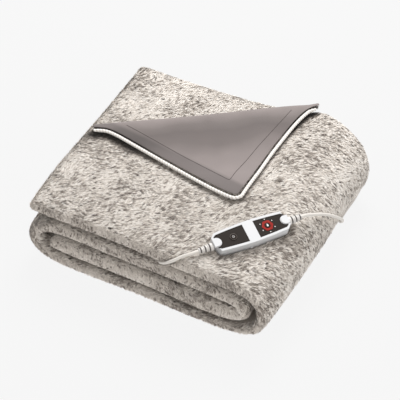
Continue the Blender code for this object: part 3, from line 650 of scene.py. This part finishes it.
def openPoints(points, normals, s):
    # which points see open air, clear of what lies on the plush, and how open they lie, for the painted
    # shade in the folds
    trees = [(nodeTree(node), room) for node, room in s["clearOf"].items()]
    keep, sky = np.zeros(len(points), bool), np.ones(len(points))
    up = Vector((0.0, 0.0, 1.0))
    facingDown, low = s["underside"]
    for k in range(len(points)):
        place, way = Vector(points[k]), Vector(normals[k])
        if way.z < facingDown and place.z < low:
            continue
        start = place + way * s["outside"]
        if any(tree.ray_cast(start, way, room)[0] is not None for tree, room in trees):
            continue
        side = way.orthogonal().normalized()
        other = way.cross(side)
        rays = [way] + [(way * 0.8 + (side * math.cos(t) + other * math.sin(t)) * 0.9).normalized()
                        for t in (0.3, 1.87, 3.44, 5.01)]
        rays.append((way * 0.45 + up * 0.9).normalized())
        reached = [plushTree.ray_cast(start, ray, s["skyReach"])[3] for ray in rays]
        keep[k] = any(away is None for away in reached)
        sky[k] = sum(1.0 if away is None else away * 18.0 for away in reached) / len(rays)
    return keep, sky


def softNoise(points, layers):
    # each layer has a strength, a size and a shift
    return np.array([
        sum(strength * noise.noise(Vector(p) * size + Vector(shift)) for strength, size, shift in layers)
        for p in points
    ])


def combAt(points, normals, s):
    # the way the pile lies: round the roll and a little back, turned here and there by hand strokes
    n = normals
    around = np.stack([n[:, 2], np.zeros(len(n)), -n[:, 0]], axis=1)  # +Y crossed with the normal
    back = np.array([0.0, 1.0, 0.0]) - n * n[:, 1:2]
    down = np.array([0.0, 0.0, -1.0]) + n * n[:, 2:3]
    flat = np.linalg.norm(around, axis=1)[:, None]
    topShare = np.clip(n[:, 2:3], 0.0, 1.0)
    roundRoll, toBack, downRim = s["comb"]
    flow = around * roundRoll + back * toBack * flat * topShare + down * (1 - flat) * downRim
    flow = unit(flow)
    across = np.cross(n, flow)
    swing = softNoise(points, s["strokes"])
    return flow * np.cos(swing)[:, None] + across * np.sin(swing)[:, None]


def lockOwners(points, flow, s):
    # every blade belongs to the nearest lock, which is a short line along the flow
    locks = len(points) // s["lockEvery"]
    places = [points[k] + flow[k] * (step - 1) * s["lockReach"] for k in range(locks) for step in range(3)]
    tree = nearestOf(places)
    return locks, np.array([tree.find(p)[1] // 3 for p in points])


def nearHandset(points, reach):
    # 1 against the casing, 0 from reach away
    over = np.maximum(np.abs(inHandset(points)[:, :2]) - (handsetSet["half"], handsetSet["wide"]), 0.0)
    return np.clip(1.0 - np.linalg.norm(over, axis=1) / reach, 0.0, 1.0)


def shapeBlades(points, normals, depth, flow, locks, owner, rim, hug, s):
    # each blade's two corners at the root, two at the bend, and its tip
    count = len(points)
    root = points - normals * depth[:, None]
    share = np.clip(depth / plushSet["depth"], s["thin"], 1.0) * (1 - (1 - s["rimShort"]) * rim)
    lockLong = s["long"][0] * (s["lockLong"][0] + s["lockLong"][1] * rng.random(locks))
    vary = s["long"][1] * (rng.random(count) - 0.5)
    long = (lockLong[owner] + vary) * share * (1 + s["hugLonger"] * hug)
    lockLift = s["liftVary"][0] * rng.standard_normal(locks)
    lifts = [
        np.radians(lift + against * hug + lockLift[owner] + s["liftVary"][1] * rng.standard_normal(count))
        for lift, against in zip(s["lift"], s["hugLift"])
    ]
    lockTurn = s["turnVary"][0] * rng.standard_normal(locks)
    turn = lockTurn[owner] + s["turnVary"][1] * rng.standard_normal(count)
    across = np.cross(normals, flow)
    lean = flow * np.cos(turn)[:, None] + across * np.sin(turn)[:, None]
    first, last = (lean * np.cos(lift)[:, None] + normals * np.sin(lift)[:, None] for lift in lifts)
    middle = root + first * (long * s["bend"][0])[:, None]
    tip = middle + last * (long * s["bend"][1])[:, None]
    # blades gather towards their lock's own line
    for place, pull in zip((middle, tip), s["lockPull"]):
        gap = place[owner] - place
        along = np.einsum("ij,ij->i", gap, flow[owner])[:, None] * flow[owner]
        place += (gap - along) * pull * (0.6 + 0.4 * rng.random(count))[:, None]
    twist = np.radians(s["twist"] * rng.standard_normal(count))
    side = across * np.cos(twist)[:, None] + normals * np.sin(twist)[:, None]
    half = (s["wide"] * (0.8 + 0.4 * rng.random(count)) / 2)[:, None]
    atBend = side * half * s["narrow"]
    return np.stack([root - side * half, root + side * half, middle - atBend, middle + atBend, tip], axis=1)


def toneBlades(points, tips, sky, locks, owner, rim, hug, s):
    # from 0, dark, to 1, pale: dark locks, and painted shade and shadows
    count = len(points)
    patch = softNoise(points[:locks], s["patches"])
    # below the handset: ruffled pile with more dark locks, and painted shade that darkens the pale ones
    below, halfWide, halfLong = s["ruffledAndShaded"]
    local = inHandset(points[:locks])
    ruffledAndShaded = np.exp(-((local[:, 1] + below) / halfWide) ** 2 - (local[:, 0] / halfLong) ** 4)
    more = np.clip(1 + s["patchShare"] * patch + s["ruffledShare"] * ruffledAndShaded, 0.2, 2.5)
    dark = rng.random(locks) < s["darkShare"] * more
    pale = s["pale"] - s["patchTone"] * patch - s["shadeBelowHandset"] * ruffledAndShaded
    lockTone = np.where(dark, s["dark"], pale) + s["vary"][0] * rng.standard_normal(locks)
    tone = lockTone[owner] + s["vary"][1] * rng.standard_normal(count)
    # the rims: plainer pile, and painted shade on their faces
    plainer, darker = s["rim"]
    tone = s["middle"] + (tone - s["middle"]) * (1 - plainer * rim) - darker * rim
    # painted shadow where the pile meets the casing
    contactFrom, contactOver, casingShadowDepth = s["casingShadow"]
    casingShadow = np.clip((hug - contactFrom) / contactOver, 0.0, 1.0)
    # painted shade: the pile's colour darkens where the folds hide the sky
    tone = np.clip(tone, 0.03, 1.0) * (s["folds"] + (1 - s["folds"]) * sky)
    # painted shadow under the corner's edge
    tone = tone * (1 - s["underCornerShadow"] * cornerShade(tips, shadeSet)) * (1 - casingShadowDepth * casingShadow)
    return np.clip(tone, 0.0, 1.0)


def makeBlades(s):
    points, normals, depth = scatter(int(s["blades"] * s["spare"]))
    keep, sky = openPoints(points, normals, s)
    points, normals, depth, sky = (field[keep][: s["blades"]] for field in (points, normals, depth, sky))
    print("pile roots kept:", len(points), "of", len(keep))
    flow = combAt(points, normals, s)
    locks, owner = lockOwners(points, flow, s)
    rimFrom, rimOver = s["rimFrom"]
    rim = np.clip((np.abs(normals[:, 1]) - rimFrom) / rimOver, 0.0, 1.0)
    hug = nearHandset(points, s["hugReach"])
    blades = shapeBlades(points, normals, depth, flow, locks, owner, rim, hug, s)
    tone = toneBlades(points, blades[:, 4], sky, locks, owner, rim, hug, toneSet)
    # in one order across the plush, so that each piece of the pile holds one region
    order = np.argsort(points[:, 0] * 0.3 + points[:, 2], kind="stable")
    return blades[order], tone[order]


def clearOfHandset(places, s):
    local = inHandset(places)
    x, y, z = np.abs(local[:, 0]), np.abs(local[:, 1]), local[:, 2]
    half, wide, under = s["casing"]
    draw, drawFrom = s["casingDraw"]
    casing = (x < half) & (y < wide) & (y < wide - draw * (x - drawFrom)) & (z > under)
    reliefFrom, reliefTo, reach = s["reliefs"]
    height = np.abs(z - handsetSet["reliefAxis"])
    reliefs = (x > reliefFrom) & (x < reliefTo) & (y < reach) & (height < reach)
    return ~(casing | reliefs)


def fitAroundThings(blades, s):
    # shortens blades that would cross a lead or the handset, and drops those that still do
    marks = [Vector(p.co[:3]) for lead in leads for p in lead.data.splines[0].points]
    marks = [m for m in marks if m.z > s["leadAbove"]]
    tree = nearestOf(marks)
    low, high = np.min([m[:] for m in marks], axis=0) - 0.01, np.max([m[:] for m in marks], axis=0) + 0.01
    root = blades[:, :2].mean(axis=1, keepdims=True)
    done = np.zeros(len(blades), bool)
    for length in s["lengths"]:
        short = root + (blades - root) * length
        clear = ~done
        for place in (short[:, 4], short[:, 2:4].mean(axis=1)):
            clear &= clearOfHandset(place, s)
            near = clear & np.all((place > low) & (place < high), axis=1)
            for k in np.nonzero(near)[0]:
                clear[k] = tree.find(place[k])[2] > s["fromLead"]
        if length < 1.0:
            blades[clear, 2:] = short[clear, 2:]
        done |= clear
    # the slider and the lamp in the casing's front wall stay free
    local = inHandset(blades[:, 4])
    outer, inner = s["frontWall"]
    front = (local[:, 1] < inner) & (local[:, 1] > outer)
    for x in handsetSet["frontDetails"]:
        done &= ~(front & (np.abs(local[:, 0] - x) < s["detail"]))
    return done


pileColours = dict(
    root=((0.0, (0.020, 0.016, 0.013)), (0.25, (0.18, 0.152, 0.130)), (0.5, (0.46, 0.41, 0.36)),
          (1.0, (0.70, 0.65, 0.59))),
    tip=((0.0, (0.035, 0.028, 0.023)), (0.25, (0.26, 0.222, 0.192)), (0.5, (0.62, 0.56, 0.50)),
         (0.75, (0.82, 0.765, 0.705)), (1.0, (0.90, 0.86, 0.81))),
    fade=(0.05, 0.40),  # along the blade, from its root's colour to its tip's
    roughness=0.8,
    specular=0.15,
    sheen=0.3,
)


def pileMaterial(s):
    made, nodes, links, shader = newMaterial("pile")
    along, tone = pointField(nodes, "along"), pointField(nodes, "tone")
    rootColour = colourRamp(nodes, links, tone, s["root"])
    tipColour = colourRamp(nodes, links, tone, s["tip"])
    fade = smoothRange(nodes, links, along, *s["fade"])
    links.new(mixedColour(nodes, links, fade, rootColour, tipColour), shader.inputs["Base Color"])
    shader.inputs["Roughness"].default_value = s["roughness"]
    shader.inputs["Specular IOR Level"].default_value = s["specular"]
    shader.inputs["Sheen Weight"].default_value = s["sheen"]
    return made


def makePile(s):
    blades, tone = makeBlades(s)
    keep = fitAroundThings(blades, fitSet)
    blades, tone = blades[keep], tone[keep]
    material = pileMaterial(pileColours)
    tall = np.array([0.0, 0.0, 0.5, 0.5, 1.0])  # of a blade's five points
    triangles = np.array([(0, 1, 3), (0, 3, 2), (2, 3, 4)])
    starts = range(0, len(blades), s["perPiece"])
    for number, start in enumerate(starts, 1):
        part, partTone = blades[start : start + s["perPiece"]], tone[start : start + s["perPiece"]]
        faces = (np.arange(len(part))[:, None, None] * 5 + triangles[None]).reshape(-1, 3)
        data = meshFromArrays(f"pile{number}", part.reshape(-1, 3), faces)
        along, bladeTone = np.tile(tall, len(part)), np.repeat(partTone, 5)
        setFloats(data, "along", along)
        setFloats(data, "tone", bladeTone)
        palette = data.uv_layers.new(name="OFBake")
        pairs = np.stack([along[faces.ravel()], bladeTone[faces.ravel()]], axis=1) * 0.98 + 0.01
        palette.data.foreach_set("uv", pairs.astype(np.float32).ravel())
        data.shade_smooth()
        data.materials.append(material)
        pile = linkObject(f"pile{number}", data)
        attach(pile, "root")
    print("pile made:", len(blades), "blades in", len(starts), "pieces")


def groundMaterial(s):
    made, nodes, links, shader = newMaterial("plushGround")
    # the base darkens in the painted shadow under the corner's edge
    colour = mixedColour(nodes, links, pointField(nodes, "shade"), s["ground"], s["groundShade"])
    grained = placeGrain(nodes, links, shader, colour, 500.0, 40.0, 0.5, 0.95)
    placeBump(nodes, links, shader, grained.outputs["Height"], 0.8, 0.001)
    shader.inputs["Sheen Weight"].default_value = 0.1
    return made


def finishBase(s):
    points = plushPoints - plushNormals * plushDepths[:, None]
    base.data.vertices.foreach_set("co", points.astype(np.float32).ravel())
    base.data.update()
    # painted shadow under the corner's edge, for the base's colour
    setFloats(base.data, "shade", cornerShade(points, shadeSet))
    setMaterial(base, groundMaterial(s))
    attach(base, "root")
    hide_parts("plush_blanket")


# edge cord with its whip stitches, laid round the corner, and the painted shadow under that edge

edgeSet = dict(
    radius=0.0030,
    raised=0.0007,  # a stitch over the grooves beside it
    pitch=0.0056,
    slant=0.5,
    rounding=0.6,
    step=0.0007,
    sides=16,
    ends=(0.72, 0.008),  # the thickness left at an end, and over what length it thins
    route=(
        (-0.2023, -0.0160, 0.1470), (-0.1813, -0.0085, 0.1471), (-0.1591, -0.0102, 0.1474),
        (-0.1372, -0.0149, 0.1476), (-0.1153, -0.0200, 0.1478), (-0.0935, -0.0250, 0.1481),
        (-0.0717, -0.0301, 0.1483), (-0.0498, -0.0349, 0.1483), (-0.0279, -0.0396, 0.1483),
        (-0.0060, -0.0441, 0.1482), (0.0160, -0.0486, 0.1481), (0.0380, -0.0526, 0.1480),
        (0.0602, -0.0560, 0.1479), (0.0825, -0.0579, 0.1478), (0.0925, -0.0562, 0.1478),
        (0.0989, -0.0480, 0.1479), (0.0991, -0.0370, 0.1480), (0.0989, -0.0256, 0.1482),
        (0.0991, -0.0032, 0.1485), (0.0995, 0.0192, 0.1487), (0.0992, 0.0416, 0.1488),
        (0.0988, 0.0640, 0.1488), (0.0990, 0.0864, 0.1486), (0.0995, 0.1088, 0.1483),
        (0.1000, 0.1312, 0.1481), (0.1014, 0.1536, 0.1485), (0.1041, 0.1758, 0.1493),
        (0.1089, 0.1976, 0.1500), (0.1150, 0.2052, 0.1515), (0.1180, 0.2082, 0.1522),
    ),
    # from painted shade deep in a groove to the yarn's own colour on top of a stitch
    yarnAndGrooveShade=((0.0, (0.42, 0.37, 0.33)), (0.30, (0.72, 0.67, 0.62)), (0.6, (0.80, 0.765, 0.725)),
          (1.0, (0.84, 0.815, 0.78))),
    roughness=0.85,
    sheen=0.2,
)
shadeSet = dict(
    step=0.002,
    above=0.115,  # on the top layer only
    rightOf=-0.23,
    reach=0.0070,  # from the edge
    deep=0.55,  # along the middle, and 1 at the ends
    rise=1.35,
    leftEnd=(0.25, 0.10, 0.0125),  # share of the edge, over what share, and the further reach
    rightEnd=(0.83, 0.06, 0.0070),
)


def cornerShade(points, s):
    # 0 to 1: how deep a place lies in the painted shadow under the turned-back corner's edge
    route = smoothLine(edgeSet["route"], s["step"])
    tree = nearestOf([(mark.x, mark.y, 0.0) for mark in route])
    leftTo, leftOver, leftReach = s["leftEnd"]
    rightFrom, rightOver, rightReach = s["rightEnd"]
    shade = np.zeros(len(points))
    for k, place in enumerate(points):
        if place[2] > s["above"] and place[0] > s["rightOf"]:
            mark, number, away = tree.find((place[0], place[1], 0.0))
            share = number / len(route)
            left = np.clip((leftTo - share) / leftOver, 0.0, 1.0)
            right = np.clip((share - rightFrom) / rightOver, 0.0, 1.0)
            reach = s["reach"] + leftReach * left + rightReach * right
            deep = s["deep"] + (1 - s["deep"]) * max(left, right)
            shade[k] = deep * np.clip(s["rise"] * (1.0 - away / reach), 0.0, 1.0)
    return shade


def edgeYarn(s):
    material, nodes, links, shader = newMaterial("edgeYarn")
    # the yarn's colour, with painted shade in the grooves between the stitches
    links.new(colourRamp(nodes, links, pointField(nodes, "deep"), s["yarnAndGrooveShade"]), shader.inputs["Base Color"])
    shader.inputs["Roughness"].default_value = s["roughness"]
    shader.inputs["Sheen Weight"].default_value = s["sheen"]
    return material


def makeEdgeCord(s):
    centres = np.array([p[:] for p in smoothLine(s["route"], s["step"])])
    ways = unit(np.gradient(centres, axis=0))
    aside = unit(np.cross(ways, np.array([0.0, 0.0, 1.0])))
    over = np.cross(aside, ways)
    turns = np.linspace(0.0, math.tau, s["sides"], endpoint=False)
    run = np.arange(len(centres)) * s["step"]
    wave = np.abs(np.sin(math.pi * run[:, None] / s["pitch"] + s["slant"] * turns[None]))
    thin, thinOver = s["ends"]
    ends = np.minimum(run, run[-1] - run)[:, None] / thinOver
    taper = thin + (1 - thin) * np.clip(ends, 0.0, 1.0)
    reach = (s["radius"] - s["raised"] + s["raised"] * wave ** s["rounding"]) * taper
    rings = centres[:, None] + reach[..., None] * (
        np.cos(turns)[None, :, None] * aside[:, None] + np.sin(turns)[None, :, None] * over[:, None])
    sides = s["sides"]
    i, j = np.meshgrid(np.arange(len(centres) - 1), np.arange(sides), indexing="ij")
    here, beside = i * sides + j, i * sides + (j + 1) % sides
    faces = np.stack([here, beside, beside + sides, here + sides], axis=-1)
    data = meshFromArrays("edgeCord", rings.reshape(-1, 3), faces.reshape(-1, 4))
    setFloats(data, "deep", wave.ravel())
    data.shade_smooth()
    cord = linkObject("edgeCord", data)
    setMaterial(cord, edgeYarn(s))
    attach(cord, "root")
    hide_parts("edge_cord")


makeEdgeCord(edgeSet)
print("edge cord made")
makePile(pileSet)
finishBase(plushSet)


# lining of the turned-back corner, with a line of stitches

liningSet = dict(
    crease=(-0.206, -0.011),
    towardsTip=(0.575, -0.819),
    reach=0.205,  # from the crease to the tip
    # painted light and shade from the crease to the tip, as the cloth curves
    creaseShades=((0.0, (0.220, 0.187, 0.178)), (0.10, (0.140, 0.118, 0.111)), (0.20, (0.112, 0.093, 0.088)),
         (0.33, (0.128, 0.107, 0.101)), (0.50, (0.196, 0.166, 0.158)), (0.72, (0.238, 0.203, 0.194)),
         (1.0, (0.205, 0.174, 0.166))),
    streaks=(11.0, 2.0, 0.06),  # size, detail and how far they shift the shades
    leftEdge=(0.1454, 0.9894, 0.0452),  # the left edge's line
    leftEdgeShade=(0.026, 0.037, 0.64),  # painted shade along it, where the cloth curves down: from, to and how dark
    bump=(0.3, 0.0003),
    sheen=0.15,
    grain=dict(grain=1300.0, cloud=24.0, contrast=0.16, roughness=0.85),
)
stitchSet = dict(
    line=((-0.1554, 0.0168), (-0.1018, 0.0060), (-0.0351, -0.0089), (0.0070, -0.0168), (0.0485, -0.0239),
          (0.0640, -0.0264), (0.0668, -0.0235), (0.0670, -0.0050), (0.0701, 0.0265), (0.0715, 0.0583),
          (0.0726, 0.0792), (0.0767, 0.1302), (0.0801, 0.1636), (0.0820, 0.1841)),
    step=0.0011,
    radius=0.00042,
    raised=0.0001,
    above=0.2,  # where the rays that find the lining start
)


def liningShadeMaterial(s):
    # the lining's colour holds painted light and shade across the crease's roll and along its left edge
    made, nodes, links, shader = newMaterial("paintedShadeLining")
    where = nodes.new("ShaderNodeTexCoord")
    size, detail, shift = s["streaks"]
    streaks = nodes.new("ShaderNodeTexNoise")
    streaks.inputs["Scale"].default_value = size
    streaks.inputs["Detail"].default_value = detail
    links.new(where.outputs["Object"], streaks.inputs["Vector"])
    split = nodes.new("ShaderNodeSeparateXYZ")
    links.new(where.outputs["Object"], split.inputs["Vector"])

    def distanceAlong(alongX, alongY, start):
        byX = mathNode(nodes, links, "MULTIPLY", split.outputs["X"], alongX)
        byY = mathNode(nodes, links, "MULTIPLY", split.outputs["Y"], alongY)
        return mathNode(nodes, links, "SUBTRACT", mathNode(nodes, links, "ADD", byX, byY), start)

    across, down = s["towardsTip"]
    creaseX, creaseY = s["crease"]
    away = distanceAlong(across, down, creaseX * across + creaseY * down)
    centred = mathNode(nodes, links, "SUBTRACT", streaks.outputs["Fac"], 0.5)
    waved = mathNode(nodes, links, "ADD", away, mathNode(nodes, links, "MULTIPLY", centred, shift))
    shade = colourRamp(nodes, links, mathNode(nodes, links, "DIVIDE", waved, s["reach"]), s["creaseShades"])
    alongX, alongY, edgeShift = s["leftEdge"]
    inside = distanceAlong(alongX, alongY, -edgeShift)
    edgeShade = smoothRange(nodes, links, inside, *s["leftEdgeShade"])
    grained = placeGrain(nodes, links, shader, scaledColour(nodes, links, shade, edgeShade), **s["grain"])
    placeBump(nodes, links, shader, grained.outputs["Height"], *s["bump"])
    shader.inputs["Sheen Weight"].default_value = s["sheen"]
    return made


def makeLining(s):
    made = softCopy("corner_lining", "cornerLining", 2)
    setMaterial(made, liningShadeMaterial(s))
    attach(made, "root")
    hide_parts("corner_lining")
    return made


lining = makeLining(liningSet)


def makeStitching(s):
    points, normals, corners = meshArrays(lining.data)
    tree = treeOf(points, corners)
    found = []
    for place in smoothLine([(x, y, 0.0) for x, y in s["line"]], s["step"]):
        hit = tree.ray_cast(Vector((place.x, place.y, s["above"])), Vector((0, 0, -1)))
        if hit[0] is not None:
            found.append(hit[0] + Vector((0, 0, s["raised"])))
    seam = tubeCurve("cornerStitching", found, s["radius"], 1)
    setMaterial(seam, finishes["stitchThread"])
    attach(seam, "root")


makeStitching(stitchSet)
print("lining made")


# marks on the handset: a plain power sign and the dial's pointer

markSet = dict(
    height=0.0197,
    powerAt=(-0.0320, 0.0),
    rim=(0.0055, 0.00022),  # reach and thickness
    sign=(0.0017, 0.0003),
    signBar=(0.0004, 0.0026),
    dialAt=(0.0292, 0.0),
    pointer=((0.0, 0.0034), (0.0009, 0.0014), (0.0016, -0.0004), (0.0012, -0.0019), (0.0, -0.0025)),
    pointerThick=0.0002,
)


def arcPoints(centre, reach, height, first, last, count):
    x, y = centre
    return [(x + reach * math.cos(t), y + reach * math.sin(t), height)
            for t in np.radians(np.linspace(first, last, count))]


def makePointer(s):
    x, y = s["dialAt"]
    outline = s["pointer"] + tuple((-a, b) for a, b in s["pointer"][-2:0:-1])
    shape = bmesh.new()
    places = onHandset([(x + a, y + b, s["height"]) for a, b in outline])
    shape.faces.new([shape.verts.new(place) for place in places])
    grown = bmesh.ops.extrude_face_region(shape, geom=list(shape.faces))
    upwards = handsetPlace.to_3x3() @ Vector((0, 0, s["pointerThick"]))
    lifted = [v for v in grown["geom"] if isinstance(v, bmesh.types.BMVert)]
    bmesh.ops.translate(shape, vec=upwards, verts=lifted)
    bmesh.ops.recalc_face_normals(shape, faces=shape.faces)
    data = bpy.data.meshes.new("dialPointer")
    shape.to_mesh(data)
    shape.free()
    pointer = linkObject("dialPointer", data)
    setMaterial(pointer, finishes["paleMark"])
    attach(pointer, "root")


def makeMarks(s):
    height, (x, y) = s["height"], s["powerAt"]
    rimReach, rimThick = s["rim"]
    signReach, signThick = s["sign"]
    rim = arcPoints(s["powerAt"], rimReach, height, 0, 360, 33)
    ring = arcPoints(s["powerAt"], signReach, height, 130, 410, 17)
    bar = [(x, y + up, height) for up in s["signBar"]]
    for name, points, thick, finish in (
        ("powerRim", rim, rimThick, "greyMark"),
        ("powerSignRing", ring, signThick, "paleMark"),
        ("powerSignBar", bar, signThick, "paleMark"),
    ):
        mark = tubeCurve(name, onHandset(points), thick, 2)
        setMaterial(mark, finishes[finish])
        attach(mark, "root")
    makePointer(s)


makeMarks(markSet)
print("handset marks made")


# floor and studio light

stageSet = dict(
    floor=(0.03, 0.03, 0.03),
    floorHalf=6.0,
    glow=0.885,
    world=0.62,
    lights=dict(keyLight=((-0.30, 1.0, 1.7), 1.1, 42.0), fillLight=((1.4, -1.6, 1.2), 1.6, 13.0)),
    aim=(0.0, 0.0, 0.05),
)


def makeLight(name, place, size, power, aim):
    data = bpy.data.lights.new(name, "AREA")
    data.shape = "SQUARE"
    data.size = size
    data.energy = power
    light = linkObject(name, data)
    light.location = place
    light.rotation_mode = "QUATERNION"
    light.rotation_quaternion = (Vector(aim) - Vector(place)).to_track_quat("-Z", "Y")


def makeStage(s):
    r = s["floorHalf"]
    floor = linkObject("floor", meshFromArrays("floor", [(-r, -r, 0), (r, -r, 0), (r, r, 0), (-r, r, 0)],
                                               [(0, 1, 2, 3)]))
    material, nodes, links, shader = newMaterial("paleFloor")
    shader.inputs["Base Color"].default_value = (*s["floor"], 1.0)
    shader.inputs["Roughness"].default_value = 1.0
    shader.inputs["Specular IOR Level"].default_value = 0.0
    shader.inputs["Emission Color"].default_value = (1.0, 1.0, 1.0, 1.0)
    shader.inputs["Emission Strength"].default_value = s["glow"]
    setMaterial(floor, material)
    world = bpy.data.worlds.new("studio")
    scene.world = world
    world.use_nodes = True
    world.node_tree.nodes["Background"].inputs["Color"].default_value = (1.0, 1.0, 1.0, 1.0)
    world.node_tree.nodes["Background"].inputs["Strength"].default_value = s["world"]
    for name, (place, size, power) in s["lights"].items():
        makeLight(name, place, size, power, s["aim"])
    scene.view_settings.view_transform = "Standard"


makeStage(stageSet)
print("stage set")
